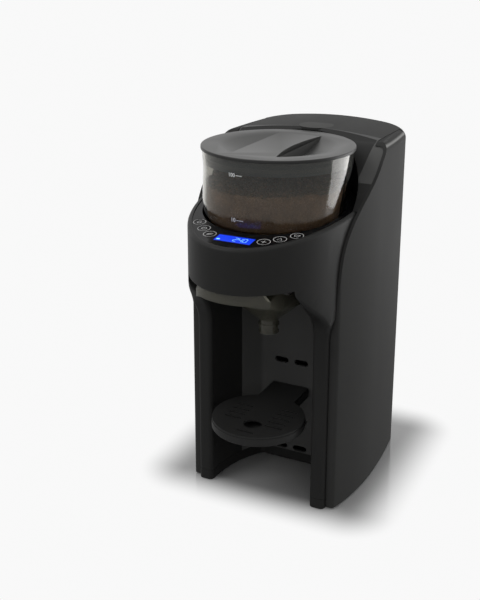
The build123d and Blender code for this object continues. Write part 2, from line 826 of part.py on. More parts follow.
def mixing_wheel():
    """Wheel with curved paddles that sweeps the powder to the outlet."""
    low = cup_low + cup_floor + gap
    high = low + wheel_thick - gap
    tip = wheel_radius - 1.5
    wheel = tube(wheel_radius, wheel_radius - 3, low, high)
    hub = rod(collar_radius + 4, low, high + 5)
    hub = chamfer(hub.edges().group_by(Axis.Z)[-1], 3)
    for turn in range(5):
        with BuildSketch() as paddle:
            with BuildLine():
                swept = TangentArc((collar_radius + 2, 0), (tip * cos(0.35), tip * sin(0.35)), tangent=(1, 0))
                offset(swept, paddle_half, side=Side.BOTH)
            make_face()
        wheel += Rot(Z=72 * turn) * prism(paddle.sketch, low, high)
    wheel = (wheel & rod(wheel_radius, low, high)) + hub
    wheel -= rod(collar_radius + 0.4, 0, low + 4)
    return wheel - prism(RegularPolygon(coupler_radius + run_fit, 6), 0, high + 1.5)


def drive_gear():
    """Large gear with the shaft and the six-sided coupler that turns the wheel."""
    gear = prism(gear_face(drive_teeth, 0), gear_low, gear_low + gear_width)
    gear += rod(9.0, drive_floor + drive_plate + gap, seat_floor - gap)
    gear += rod(drive_shaft, seat_floor - 1, cup_low + cup_floor)
    gear += prism(RegularPolygon(coupler_radius, 6), seat_floor, cup_low + cup_floor + wheel_thick + 1)
    return gear - rod(pin_radius + run_fit, 0, gear_low + gear_width - 2)


def idler_gear():
    """Gear between the motor and the large gear, on a fixed pin."""
    first_tooth = 90 + 180 / idler_teeth
    gear = prism(gear_face(idler_teeth, first_tooth), gear_low, gear_low + gear_width)
    gear += rod(8.0, drive_floor + drive_plate + gap, gear_low)
    gear -= rod(pin_radius + run_fit, 0, body_height)
    return Pos(0, idler_y()) * gear


def motor_pinion():
    """Pinion on the motor's shaft."""
    gear = prism(gear_face(pinion_teeth, 90), gear_low, gear_low + gear_width)
    gear += rod(2.5, drive_floor - motor_length + 8, gear_low + gear_width + 2)
    return Pos(0, motor_y()) * gear


def idler_y():
    """Distance of the idler behind the container axis."""
    return (drive_teeth + idler_teeth) * gear_module / 2


def motor_y():
    """Distance of the motor behind the container axis."""
    return idler_y() + (idler_teeth + pinion_teeth) * gear_module / 2


def mixer_motor():
    """Geared motor hung under the drive deck."""
    low = drive_floor - motor_length
    motor = rod(motor_radius, low, drive_floor - 3, 0, motor_y())
    motor = chamfer(motor.edges().group_by(Axis.Z)[0], 1.5)
    wing = motor_radius + 7
    motor += block((-wing, wing), (motor_y() - 7, motor_y() + 7), (drive_floor - 3, drive_floor))
    return motor - rod(2.5 + run_fit, low + 7.5, drive_floor + 1, 0, motor_y())


def drive_deck():
    """Plate over the funnel that carries the motor, the gears' pins and the seat's posts."""
    top = drive_floor + drive_plate
    plate = head_face(wall + 0.5) & slab(-front_reach, room_rear - wall)
    deck = prism(plate, drive_floor, top) & arch_solid(wall + 1)
    deck &= block((-room_half + wall + 1, room_half - wall - 1), (-front_reach, room_rear), (0, body_height))
    deck -= chute_solid(funnel_wall + 2 * gap)
    deck -= rod(6, 0, body_height, 0, motor_y())
    deck += rod(pin_radius, top, gear_low + 4)
    deck += rod(pin_radius, top, gear_low + gear_width + 2, 0, idler_y())
    for x, y in mirrored_spots(seat_posts):
        deck += rod(5.0, top, seat_floor, x, y)
    return deck


def container_seat():
    """Cup under the deck that takes the container, with the powder chute below it."""
    top = seat_floor + seat_plate
    seat = rod(seat_outer, seat_floor, body_height)
    seat -= rod(seat_outer - thin_wall, top, body_height)
    seat -= above_deck(-deck_sink - deck_plate)
    seat -= rod(bush_radius, 0, body_height)
    seat += chute_solid(funnel_wall, fascia_bottom + 0.4)
    return seat - chute_solid(0, fascia_bottom - 1, body_height)


def chute_solid(grow=0.0, low=fascia_bottom, high=seat_floor):
    """Powder chute: straight down beside the gear, then leaning back to the funnel's chimney."""
    turn = gear_low - 1.0
    slope = (chimney_y - outlet_y) / (turn - fascia_bottom)
    end_y = outlet_y + slope * (turn - low)
    ring = Circle(outlet_radius + grow)
    lean = loft([Pos(0, end_y, low) * ring, Pos(0, outlet_y, turn) * ring])
    return lean + rod(outlet_radius + grow, turn, high, 0, outlet_y)


def drive_bush():
    """Flanged bush for the drive shaft in the seat's floor."""
    top = seat_floor + seat_plate
    return rod(bush_radius, seat_floor, top) - rod(drive_shaft + run_fit, 0, body_height)


def lid_pocket(side, grow=0.0):
    """Finger recess beside the lid's handle bar: scooped, deepest along the bar's straight wall."""
    edge = bar_half - pocket_offset
    rise = (pocket_radius**2 - edge**2 - pocket_depth**2) / (2 * pocket_depth)
    scoop = Pos(side * pocket_offset, 0, lid_top + rise) * Sphere(hypot(pocket_radius, rise) + grow)
    low = lid_top - pocket_depth - 2 * grow
    inner = bar_half - grow
    return scoop & block(
        (min(side * inner, side * lid_radius), max(side * inner, side * lid_radius)),
        (-pocket_radius - 2 * grow, pocket_radius + 2 * grow),
        (low, lid_top + 1),
    )


def container_lid():
    """Lid with a plug skirt and a handle bar left standing between two scooped recesses."""
    under = lid_top - lid_plate
    plate = rod(lid_radius, under, lid_top)
    plate = fillet(plate.edges().group_by(Axis.Z)[-1], 1.0)
    skirt = lid_skirt_radius()
    bowls = lid_pocket(-1, thin_wall) + lid_pocket(1, thin_wall)
    lid = plate + tube(skirt, skirt - thin_wall, under - lid_skirt, under)
    lid += bowls & rod(skirt, 0, under)
    lid -= lid_pocket(-1) + lid_pocket(1)
    lid -= tube(lid_radius, skirt - 1.4, seal_low, seal_low + seal_height)
    return Pos(0, lid_y) * lid


def lid_skirt_radius():
    """Radius of the lid's skirt, clear of the container's wall at the skirt's lower edge."""
    return container_radius(lid_top - lid_plate - lid_skirt) - thin_wall - gap


def lid_seal():
    """Soft ring in the groove of the lid's skirt."""
    outer = container_radius(seal_low) - thin_wall - gap
    return Pos(0, lid_y) * tube(outer, lid_skirt_radius() - 1.4, seal_low, seal_low + seal_height)


# ---- Funnel, its cover and the rails they slide on ----
def basin_face(inset=0.0):
    """Plan of the funnel's basin: straight sides and a shallow arc at the rear."""
    half = funnel_half - inset
    front = funnel_front + inset
    with BuildSketch() as sketch:
        with BuildLine():
            Polyline((-half, funnel_straight), (-half, front), (half, front), (half, funnel_straight))
            ThreePointArc((half, funnel_straight), (0, funnel_rear - inset), (-half, funnel_straight))
        make_face()
    return sketch.sketch


def hopper_solid(inset=0.0):
    """Turned part of the funnel: a spout, a straight cone and a short drum, or the space in them."""
    pipe = spout_radius - inset
    drum = drum_radius - inset
    neck = spout_bottom + spout_length
    shift = inset * 0.4
    low = spout_bottom - (1 if inset else 0)
    high = basin_low + funnel_wall + (1 if inset else -0.5)
    with BuildSketch(Plane.XZ) as section:
        with BuildLine():
            rim = [(drum, drum_low + shift), (drum, high), (0, high)]
            Polyline((0, low), (pipe, low), (pipe, neck + shift), *rim, close=True)
        make_face()
    return Pos(0, spout_y) * revolve(section.sketch, axis=Axis.Z)


def visor_solid(inset=0.0):
    """Scoop ahead of the basin: its plan follows the head, its underside rises to the lip."""
    plan = head_face(visor_inset + inset) & slab(-front_reach, funnel_front + 2 * inset, visor_half - inset)
    rear = funnel_front + funnel_wall
    under = [(y, z + inset) for y, z in visor_profile]
    top = basin_top + inset
    with BuildSketch(Plane.YZ) as profile:
        with BuildLine():
            Polyline((rear, under[0][1]), *under, (under[-1][0], top), (rear, top), close=True)
        make_face()
    return prism(plan, 0, body_height) & extrude(profile.sketch, body_width, both=True)


def funnel():
    """Hopper with a round spout under a squarish basin, with side flanges and a scooped visor."""
    shape = hopper_solid() + prism(basin_face(), basin_low, basin_top)
    ahead = prism(slab(-front_reach, funnel_front), 0, body_height)
    scoop = visor_solid() - (visor_solid(funnel_wall) & ahead)
    with BuildSketch(Plane.YZ) as slope:
        with BuildLine():
            Polyline(
                (funnel_front, basin_top - funnel_wall), (visor_tip, visor_profile[1][1] + 4),
                (visor_tip - 4, basin_top + 1), (funnel_front, basin_top + 1), close=True,
            )
        make_face()
    scoop -= extrude(slope.sketch, body_width, both=True)
    shape += scoop
    shape -= prism(basin_face(funnel_wall), basin_low + funnel_wall, basin_top - funnel_wall)
    hole = Pos(0, spout_y) * Circle(drum_radius) + Pos(0, chimney_y) * Circle(chimney_low_radius + 2 * gap)
    shape -= prism(hole & basin_face(funnel_wall), basin_low + funnel_wall, body_height)
    shape -= hopper_solid(funnel_wall)
    shape += tube(spout_radius + 1.2, spout_radius - 1, spout_bottom + 8, spout_bottom + 10, 0, spout_y)
    shape += tube(spout_radius + 0.8, spout_radius - 1, spout_bottom, spout_bottom + 1.6, 0, spout_y)
    for front, rear in flange_spans:
        flange = block(
            (funnel_half - 0.5, funnel_half + gap + flange_width),
            (front, rear),
            (rail_top + gap, rail_top + gap + rail_height),
        )
        shape += mirrored(flange)
    for side in (-1, 1):
        shape += rod(2.0, basin_top - 3, basin_top, side * (funnel_half - 4), funnel_front + 4)
    notch = (nozzle_x - notch_half, nozzle_x + notch_half)
    return shape - block(notch, (funnel_straight, funnel_rear + 1), (basin_top - 8, basin_top + 1))


def funnel_cover():
    """Shallow dish in the funnel's drum with a wide chimney under the powder chute."""
    rim_low = basin_low + funnel_wall + gap
    rim_high = rim_low + cover_wall
    cover = rod(dish_radius, dish_low, rim_high, 0, spout_y) + rod(dish_rim, rim_low, rim_high, 0, spout_y)
    cover -= rod(dish_radius - cover_wall, dish_low + cover_wall, rim_high + 1, 0, spout_y)
    cover -= rod(dish_radius / 2, 0, body_height, 0, spout_y - 6)
    cover -= rod(3.6, 0, rim_low, nozzle_x, nozzle_front + 4)
    top = basin_top - 1.2
    outer = loft([
        Pos(0, chimney_y, rim_low) * Circle(chimney_low_radius),
        Pos(0, chimney_y, top) * Circle(chimney_radius),
    ])
    inner = loft([
        Pos(0, chimney_y, rim_low - 1) * Circle(chimney_low_radius - cover_wall),
        Pos(0, chimney_y, top - cover_wall) * Circle(chimney_radius - cover_wall),
    ])
    cover = (cover - rod(chimney_low_radius - cover_wall, rim_low - 1, top, 0, chimney_y)) + (outer - inner)
    cover += tube(chimney_hole + 2, chimney_hole, top - 4, top, 0, chimney_y)
    lug_rear = spout_y + dish_rim - 4
    for side in (-1, 1):
        cover += block((side * 14 - 3, side * 14 + 3), (lug_rear - 4, lug_rear), (rim_low, rim_high + 2))
    cover -= rod(chimney_hole, top - 5, body_height, 0, chimney_y)
    return cover & prism(basin_face(funnel_wall + gap), 0, body_height)


def funnel_rails():
    """Two angle rails under the drive deck that the funnel's flanges run on."""
    inner = funnel_half + gap
    leg = inner + flange_width + gap
    rail = block((inner, leg + 1.5), (rail_front, rail_rear), (rail_top - 2, rail_top))
    rail += block((leg, leg + 1.5), (rail_front, rail_rear), (rail_top - 2, drive_floor))
    return mirrored(rail)


# ---- Drip tray ----
def tray_outline(inset=0.0):
    """Plan of the tray: a disc with a neck back to the bay's rear wall."""
    disc = Pos(0, tray_centre) * Circle(tray_radius - inset)
    neck_rear = bay_back - gap - (inset if inset else 0)
    neck = slab(tray_centre, neck_rear, tray_neck_half - inset)
    return disc + neck


def drip_tray():
    """Bowl of the tray with hooks on its neck that enter the bay's slots."""
    low = tray_top - tray_thick
    shell = prism(tray_outline(), low, tray_top - cover_thick)
    shell -= prism(tray_outline(thin_wall), low + thin_wall, tray_top)
    edges = shell.edges().filter_by(GeomType.CIRCLE).group_by(Axis.Z)[0]
    shell = fillet([e for e in edges if e.radius > tray_radius - 1], 2.0)
    for side in (-1, 1):
        x = side * slot_column
        face = SlotOverall(2 * (slot_half - gap), slot_height - 2 * gap)
        hook = extrude(Rot(X=90) * face, -(wall + 2 * gap))
        height = slot_first + tray_slot_row * slot_pitch
        shell += Pos(x, bay_back - gap, height) * hook
    return shell


def tray_cover():
    """Top plate of the tray with drain slots in two columns and a round finger hole."""
    plate = prism(tray_outline(0.6), tray_top - cover_thick, tray_top)
    for column, first, count in tray_slots:
        for row in range(count):
            y = first + row * tray_slot_pitch
            slot = Pos(column, y) * SlotOverall(tray_slot_length, tray_slot_width)
            plate -= prism(slot, 0, body_height)
    return plate - rod(finger_radius, 0, body_height, 3.0, tray_centre - 19)


# ---- Machine room ----
def chassis():
    """Frame of the machine room: a rear wall with side flanges, vents and a shelf for the shroud."""
    low = base_top + gap
    frame = block((-room_half, room_half), (room_front, room_rear), (low, shroud_low))
    inner = room_half - wall
    frame -= block((-inner, inner), (room_front - 1, room_rear - wall), (0, body_height))
    frame += block((-room_half, room_half), (room_rear - wall, room_rear), (low, room_top))
    shelf_front = lid_front - seam + gap
    frame += block((-shelf_half, shelf_half), (shelf_front, room_rear), (room_top - wall, room_top))
    for x, y in room_screws:
        boss = block((x - 5, inner + 1), (y - 5, y + 5), (low, low + 10))
        frame += mirrored(boss - rod(screw_hole, 0, body_height, x, y))
    frame -= Pos(0, room_rear, hose_level) * (Rot(X=90) * Cylinder(hose_radius + 2, 4 * wall))
    for level in range(5):
        vent = SlotOverall(60, 4)
        frame -= Pos(0, room_rear, 190 + level * 12) * extrude(Rot(X=90) * vent, 2 * wall, both=True)
    return frame


def heater():
    """Flow heater: a coiled tube cast in an upright block, with its two ports."""
    body = rod(heater_radius, heater_low, heater_low + heater_length, heater_x, heater_y)
    body = chamfer(body.edges(), 2)
    for turn in range(8):
        low = heater_low + 12.4 + turn * 9
        band = rod(heater_radius + 1.8, low, low + 3.2, heater_x, heater_y)
        body += chamfer(band.edges(), 1.2)
    body += rod(port_radius, heater_low - 5, heater_low + 1, heater_x, heater_y)
    high = heater_low + heater_length
    return body + rod(port_radius, high - 1, high + 8, heater_x, heater_y)


def heater_bracket():
    """Two straps from the heater to the rear wall."""
    straps = []
    for height in (heater_low + 6, heater_low + heater_length - 8):
        levels = (height - 3, height + 3)
        inner = heater_radius + gap
        strap = tube(inner + thin_wall, inner, *levels, heater_x, heater_y)
        tail = block((heater_x - 5, heater_x + 5), (heater_y + heater_radius + 1, room_rear - wall), levels)
        straps.append(strap + (tail - rod(inner, 0, body_height, heater_x, heater_y)))
    return Compound(straps)


def pump_body():
    """Pump housing on a foot, with a chamber for its rotor and two ports."""
    high = pump_low + 30
    body = rod(pump_radius, pump_low, high, pump_x, pump_y)
    body -= rod(pump_radius - 3, pump_low + 4, high - 12, pump_x, pump_y)
    body += rod(pump_radius - 2, high, high + 16, pump_x, pump_y)
    body -= rod(2.0 + run_fit, pump_low + 2, high + 12, pump_x, pump_y)
    body += block(
        (pump_x - 12, pump_x + 12), (pump_y + 8, room_rear - wall), (high - 4, high - 1)
    ) - rod(pump_radius - 1, 0, body_height, pump_x, pump_y)
    body += rod(port_radius, pump_low - 10, pump_low + 1, pump_x, pump_y)
    port = Rot(Y=90) * Cylinder(port_radius, 12)
    return body + Pos(pump_x + pump_radius + 3, pump_y, pump_outlet) * port


def pump_rotor():
    """Pump rotor with straight vanes on its shaft."""
    low = pump_low + 4.5
    high = pump_low + 30 - 12.5
    rotor = rod(2.0, pump_low + 2.6, pump_low + 41, pump_x, pump_y) + rod(5.0, low, high, pump_x, pump_y)
    for turn in range(4):
        rotor += Pos(pump_x, pump_y, (low + high) / 2) * Rot(Z=45 * turn) * Box(24, 1.6, high - low)
    return rotor


def hose_tank_pump():
    """From the tank's seat forward to the pump's inlet."""
    route = [
        (0, tank_valve_y, seat_top - 14),
        (0, tank_valve_y, hose_level),
        (0, pump_y + 6, hose_level),
        (pump_x, pump_y, hose_level),
        (pump_x, pump_y, pump_low - 1),
    ]
    return hose(route, (12, 13, 13))


def hose_pump_heater():
    """From the pump's outlet across to the heater's lower port."""
    route = [
        (pump_x + pump_radius + 4, pump_y, pump_outlet),
        (heater_x, pump_y, pump_outlet),
        (heater_x, heater_y, heater_low - 1),
    ]
    return hose(route, (13,))


def hose_heater_nozzle():
    """From the heater's upper port past the motor to the water nozzle."""
    route = [
        (heater_x, heater_y, heater_low + heater_length + 1),
        (heater_x, heater_y, nozzle_hose_level),
        (nozzle_x, heater_y, nozzle_hose_level),
        (nozzle_x, nozzle_rear + 1, nozzle_hose_level),
    ]
    return hose(route, (9, 9))


def water_nozzle():
    """Nozzle block behind the bay, with a spout that reaches over the funnel's basin."""
    front = bay_back + wall + gap
    width = (nozzle_x - 6, nozzle_x + 6)
    body = block(width, (front, nozzle_rear), (nozzle_hose_level - 6, drive_floor))
    lying = Pos(nozzle_x, 0, nozzle_level) * Rot(X=90)
    spout = lying * Pos(0, 0, -front - 1) * Cylinder(nozzle_tip, front + 1 - nozzle_front, align=low_end)
    drill = lying * Pos(0, 0, -front - 4) * Cylinder(nozzle_tip - 1, front + 2 - nozzle_front, align=low_end)
    drip = rod(nozzle_tip - 1.4, nozzle_level - nozzle_tip - 1, nozzle_level, nozzle_x, nozzle_front + 4)
    stub = Rot(X=90) * Cylinder(port_radius, 7, align=low_end)
    port = Pos(nozzle_x, nozzle_rear + 6, nozzle_hose_level) * stub
    return body + spout - drill - drip + port


def power_board():
    """Power board with its capacitor and transformer, on the rear wall."""
    rear = room_rear - wall
    board = block((-70, -14), (rear - 6.6, rear - 5), (150, 236))
    board += block((-44, -20), (rear - 26, rear - 6.6), (160, 184))
    board += Pos(-56, rear - 17, 214) * (Rot(X=90) * Cylinder(8, 21))
    for x in (-66, -18):
        for z in (154, 232):
            board += Pos(x, rear - 2.5, z) * (Rot(X=90) * Cylinder(2.5, 5))
    return board


def rubber_feet():
    """Feet under the pillars, the machine room and the tank's seat."""
    return Compound([rod(5.5, 0, foot_height, x, y) for x, y in mirrored_spots(foot_spots)])


def base_screws():
    """Screws that hold the base tray to the housing and the machine room."""
    screws = []
    for x, y in mirrored_spots(housing_screws + room_screws):
        head = rod(2.8, foot_height + 0.4, foot_height + 2.2, x, y)
        shaft = rod(screw_shaft, foot_height + 2, base_top + 8, x, y)
        screws.append(head + shaft - Pos(x, y) * prism(RegularPolygon(1.3, 6), 0, foot_height + 1.4))
    return Compound(screws)


def mirrored_spots(spots):
    """Plan points together with their mirror images."""
    return [(side * x, y) for side in (-1, 1) for x, y in spots]


# ---- Write every piece ----
save("base_frame", base_frame())
save("base_screws", base_screws())
save("rubber_feet", rubber_feet())
save("front_housing", front_housing())
save("bay_back_panel", bay_back_panel())
save("side_panel_left", side_panel(-1))
save("side_panel_right", side_panel(1))
save("chassis", chassis())
save("top_shroud", top_shroud())
save("control_deck", control_deck())
save("lcd_display", lcd_display())
save("key_rings", key_rings())
save("control_board", control_board())
save("drive_deck", drive_deck())
save("container_seat", container_seat())
save("drive_bush", drive_bush())
save("drive_gear", drive_gear())
save("idler_gear", idler_gear())
save("motor_pinion", motor_pinion())
save("mixer_motor", mixer_motor())
save("powder_container", powder_container())
save("container_scraper", container_scraper())
save("mixing_wheel", mixing_wheel())
save("container_lid", container_lid())
save("lid_seal", lid_seal())
save("funnel", funnel())
save("funnel_cover", funnel_cover())
save("funnel_rails", funnel_rails())
save("drip_tray", drip_tray())
save("tray_cover", tray_cover())
save("heater", heater())
save("heater_bracket", heater_bracket())
save("pump_body", pump_body())
save("pump_rotor", pump_rotor())
save("hose_tank_pump", hose_tank_pump())
save("hose_pump_heater", hose_pump_heater())
save("hose_heater_nozzle", hose_heater_nozzle())
save("water_nozzle", water_nozzle())
save("power_board", power_board())
save("power_inlet", power_inlet())
save("tank_seat", tank_seat())
save("water_tank", water_tank())
save("tank_collar", tank_collar())
save("tank_hinge_pin", tank_hinge_pin())
save("tank_lid", tank_lid())
save("tank_valve", tank_valve())
save("tank_valve_cage", tank_valve_cage())
save("tank_valve_spring", tank_valve_spring())
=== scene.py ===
import json
import math

import bmesh
import bpy
from mathutils import Matrix, Vector, noise
from mathutils.bvhtree import BVHTree

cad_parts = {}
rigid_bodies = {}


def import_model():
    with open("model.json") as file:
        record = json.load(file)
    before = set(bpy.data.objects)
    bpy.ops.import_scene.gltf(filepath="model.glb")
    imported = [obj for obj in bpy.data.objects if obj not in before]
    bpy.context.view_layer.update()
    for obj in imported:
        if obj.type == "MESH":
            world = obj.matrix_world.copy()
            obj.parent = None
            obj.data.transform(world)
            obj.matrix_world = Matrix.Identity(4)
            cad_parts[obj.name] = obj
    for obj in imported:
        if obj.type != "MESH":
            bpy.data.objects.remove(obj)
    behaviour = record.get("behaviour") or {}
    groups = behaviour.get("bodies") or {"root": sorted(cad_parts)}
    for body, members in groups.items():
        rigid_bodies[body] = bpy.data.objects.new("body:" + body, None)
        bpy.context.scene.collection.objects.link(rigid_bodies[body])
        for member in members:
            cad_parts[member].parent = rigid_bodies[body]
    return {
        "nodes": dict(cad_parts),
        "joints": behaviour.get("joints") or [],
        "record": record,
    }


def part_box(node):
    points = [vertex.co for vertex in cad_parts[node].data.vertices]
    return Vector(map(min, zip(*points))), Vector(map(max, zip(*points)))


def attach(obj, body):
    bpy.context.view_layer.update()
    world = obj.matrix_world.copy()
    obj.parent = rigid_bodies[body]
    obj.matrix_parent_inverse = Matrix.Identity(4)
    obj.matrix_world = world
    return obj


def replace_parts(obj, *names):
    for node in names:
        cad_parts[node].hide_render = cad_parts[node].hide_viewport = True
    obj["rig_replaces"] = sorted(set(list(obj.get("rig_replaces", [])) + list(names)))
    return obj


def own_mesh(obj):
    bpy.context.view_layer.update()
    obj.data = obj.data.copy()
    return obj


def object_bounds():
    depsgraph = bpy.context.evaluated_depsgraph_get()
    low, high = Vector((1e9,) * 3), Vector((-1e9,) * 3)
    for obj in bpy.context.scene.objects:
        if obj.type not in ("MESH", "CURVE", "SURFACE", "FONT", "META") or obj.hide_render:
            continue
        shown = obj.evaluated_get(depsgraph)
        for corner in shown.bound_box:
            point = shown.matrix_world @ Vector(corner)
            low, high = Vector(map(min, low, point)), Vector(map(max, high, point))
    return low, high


bl_info = {
    "name": "Baby Formula Maker",
    "version": (1, 0, 0),
    "blender": (4, 5, 0),
    "location": "3D Viewport > Sidebar > Formula Maker",
    "description": "Finishes for a countertop baby formula maker",
    "category": "Object",
}

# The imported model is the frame: every size below is in its metres.
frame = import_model()
nodes = frame["nodes"]
CAD_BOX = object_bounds()
SLOT_OF = {s["node"]: s["material_slot"] for s in frame["record"]["subparts"]}
BODY_OF = {n: b for b, ns in frame["record"]["behaviour"]["bodies"].items() for n in ns}
AXIS_Y = (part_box("drive_bush")[0].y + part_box("drive_bush")[1].y) / 2
LID_LOW, LID_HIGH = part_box("container_lid")
LID_Y = (LID_LOW.y + LID_HIGH.y) / 2
LID_RADIUS = (LID_HIGH.x - LID_LOW.x) / 2
MM = 0.001

# ---- Sizes ----
# Edges of a shell that turn by more than these degrees stay sharp.
SHELL_EDGE = 28.0
COIL_EDGE = 40.0

# Colours of the lid: its dark rim, and its skirt inside the container.
LID_RIM = 0.5 * MM
SKIRT_TOP = 3.5 * MM
SKIRT_DEPTH = 8.5 * MM

# Satin strip along the shroud's arms, which widens with the height.
STRIP_LOW = 331.0 * MM
STRIP_START = 333.0 * MM
STRIP_HALF = 71.5 * MM
STRIP_SLOPE = 0.14

# Painted highlight: a light line where the side panels' top edge turns over.
RIM_HIGHLIGHT_TILT = 0.66
RIM_HIGHLIGHT_SPREAD = 0.2
RIM_HIGHLIGHT_LOW = 200.0 * MM
RIM_HIGHLIGHT_SHARE = 0.9
RIM_HIGHLIGHT_GAIN = 3.6

# Painted highlight: a lighter patch for the lit top of the finger tab on the tank's lid.
TAB_HIGHLIGHT_MIDDLE = 70.8 * MM
TAB_HIGHLIGHT_RADIUS = 18.4 * MM
TAB_HIGHLIGHT_REAR = 83.0 * MM

# Display digits and the bars beside them; the bars are in mm from the display's middle.
SEGMENTS = {
    "0": "abcdef",
    "1": "bc",
    "2": "abged",
    "3": "abgcd",
    "4": "fgbc",
    "5": "afgcd",
    "6": "afgedc",
    "7": "abc",
    "8": "abcdefg",
    "9": "abcdfg",
}
DIGIT_TALL = 7.2 * MM
DIGIT_WIDE = 3.5 * MM
DIGIT_PITCH = 4.9 * MM
DIGIT_START = 0.5 * MM
DIGIT_LINE = 0.62 * MM
DIGIT_NICK = 0.12
BAR_COUNT = 4
BAR_PITCH = 0.62
BAR_LOW = -4.2
BAR_LEFT = -16.8
BAR_RIGHT = -13.4
PRINT_LIFT = 0.06 * MM
PRINT_THIN = Matrix.Diagonal((1.0, 1.0, 0.1, 1.0))

# Touch keys, in mm.
KEY_RADIUS = 6.1
KEY_LINE = 0.5

# The lid's right finger recess.
GRIP_EDGE = 23.0 * MM
GRIP_WAIST = 7.0 * MM
POCKET_RADIUS = 60.0 * MM
POCKET_DEPTH = 11.0 * MM
POCKET_OFFSET = 2.0 * MM
LID_WALL = 2.4 * MM
SCOOP_OVERLAP = 0.4 * MM
SCOOP_LEAST = 0.1 * MM

# Level marks on the container: number, degrees round from the front, height in mm.
LEVELS = (("100", -9.0, 351.0), ("10", -6.0, 309.5))
MARK_TALL = 4.0 * MM
MARK_START = 1.0 * MM
MARK_LONG = 8.0 * MM
MARK_LINE = 0.8 * MM
MARK_LIFT = 0.02 * MM
MARK_THIN = Matrix.Diagonal((1.0, 1.0, 0.2, 1.0))
PRINT_RADIUS = 70.0 * MM
RAY_START = 0.2
CAPITAL = 0.73
TEXT_DEPTH = 0.1 * MM
TEXT_WEIGHT = 0.06 * MM

# The powder's surface: waves to a metre, layer of the noise, height in mm.
POWDER_WAVES = ((22.0, 3.0, 3.2), (90.0, 8.0, 2.0), (320.0, 1.0, 0.9))
STEEP = 0.35
CRUMB_LEAST = (0.45, 0.45, 0.35)
CRUMB_MOST = (1.9, 1.5, 1.3)

# Floor and backdrop, in metres.
FOOT_MIDDLE = 49.0 * MM
FOOT_HALF = 95.0 * MM
SHADOW_REACH = 0.06
MIRROR_START = 0.3
MIRROR_END = 1.0
FLOOR_TONE = 0.36
SWEEP_HALF = 7.0
SWEEP_FRONT = -4.0
SWEEP_BEND = 3.0
SWEEP_RADIUS = 1.0
SWEEP_TOP = 5.0

# Lamps: name, place, aim, width and height, share of the key light's power.
LAMPS = (
    ("key", (-1.0, -1.1, 1.7), (0.0, 0.0, 0.25), (0.9, 0.9), 1.0),
    ("side", (0.68, 0.61, 0.28), (0.0, -0.03, 0.24), (0.75, 0.7), 0.45),
    ("top", (0.1, 0.5, 1.9), (0.0, 0.0, 0.3), (1.2, 1.2), 0.3),
)

# Camera: its place, and the directions of its own axes.
CAMERA_PLACE = (0.3956, -0.8901, 0.5662)
CAMERA_RIGHT = (0.89229, 0.45147, 0.0)
CAMERA_UP = (-0.13444, 0.26571, 0.95463)
CAMERA_BACK = (0.43098, -0.85181, 0.29778)
CAMERA_LENS = 59.4
CAMERA_SHIFT = -0.1


# ---- Shader maths ----
class Link:
    """A socket's value, which takes part in plain arithmetic."""

    def __init__(self, tree, value):
        self.tree = tree
        self.value = value

    def math(self, operation, *others):
        return self.tree.add("ShaderNodeMath", {"operation": operation}, [self, *others])

    def __add__(self, other):
        return self.math("ADD", other)

    def __mul__(self, other):
        return self.math("MULTIPLY", other)

    def __sub__(self, other):
        return self.math("SUBTRACT", other)

    def __rsub__(self, other):
        return self.tree.add("ShaderNodeMath", {"operation": "SUBTRACT"}, [other, self])

    def __pow__(self, other):
        return self.math("POWER", other)

    def __gt__(self, other):
        return self.math("GREATER_THAN", other)

    def __lt__(self, other):
        return self.math("LESS_THAN", other)

    def fade(self, start, end):
        """0 at start, 1 at end, and smooth between them."""
        settings = {"interpolation_type": "SMOOTHSTEP"}
        sockets = {"Value": self, "From Min": start, "From Max": end}
        return self.tree.add("ShaderNodeMapRange", settings, sockets)


class Finish:
    """A material whose nodes are written as expressions."""

    def __init__(self, name):
        self.material = bpy.data.materials.new(name)
        self.material.use_nodes = True
        self.nodes = self.material.node_tree.nodes
        self.links = self.material.node_tree.links
        self.shader = self.nodes["Principled BSDF"]

    def join(self, value, socket):
        if isinstance(value, Link):
            self.links.new(value.value, socket)
        else:
            socket.default_value = value

    def add(self, kind, settings=None, sockets=None, out=0):
        """Add a node: its settings first, then the values or links of its sockets."""
        node = self.nodes.new(kind)
        for key, value in (settings or {}).items():
            setattr(node, key, value)
        pairs = enumerate(sockets) if isinstance(sockets, list) else (sockets or {}).items()
        for key, value in pairs:
            self.join(value, node.inputs[key])
        return Link(self, node.outputs[out])

    def place(self):
        """Object coordinates, in metres."""
        return self.add("ShaderNodeTexCoord", out="Object")

    def axes(self):
        """Object coordinates as three numbers."""
        return self.parts(self.place())

    def facing(self):
        """The surface's own direction as three numbers."""
        return self.parts(self.add("ShaderNodeTexCoord", out="Normal"))

    def parts(self, vector):
        """A vector's three numbers."""
        outputs = self.add("ShaderNodeSeparateXYZ", None, [vector]).value.node.outputs
        return [Link(self, outputs[i]) for i in range(3)]

    def noise(self, scale, detail=2.0, roughness=0.5):
        sockets = {"Vector": self.place(), "Scale": scale, "Detail": detail, "Roughness": roughness}
        return self.add("ShaderNodeTexNoise", None, sockets)

    def blend(self, factor, first, second):
        """One colour turning into another."""
        node = self.nodes.new("ShaderNodeMix")
        node.data_type = "RGBA"
        self.join(factor, node.inputs[0])
        self.join(first, node.inputs[6])
        self.join(second, node.inputs[7])
        return Link(self, node.outputs[2])

    def bump(self, height, strength, distance):
        sockets = {"Height": height, "Strength": strength, "Distance": distance}
        return self.add("ShaderNodeBump", None, sockets)

    def base(self):
        """The colour that the shader has so far."""
        return Link(self, self.shader.inputs["Base Color"].links[0].from_socket)

    def set(self, **values):
        """Set the shader's sockets. An underscore stands for a space."""
        for key, value in values.items():
            self.join(value, self.shader.inputs[key.replace("_", " ")])
        return self


def rgba(color, scale=1.0):
    return (*(c * scale for c in color), 1.0)


# ---- Meshes ----
def shade(work, angle):
    """Smooth all faces, and keep the edges that turn by more than the angle sharp."""
    for face in work.faces:
        face.smooth = True
    for edge in work.edges:
        edge.smooth = edge.is_manifold and edge.calc_face_angle(0) < math.radians(angle)


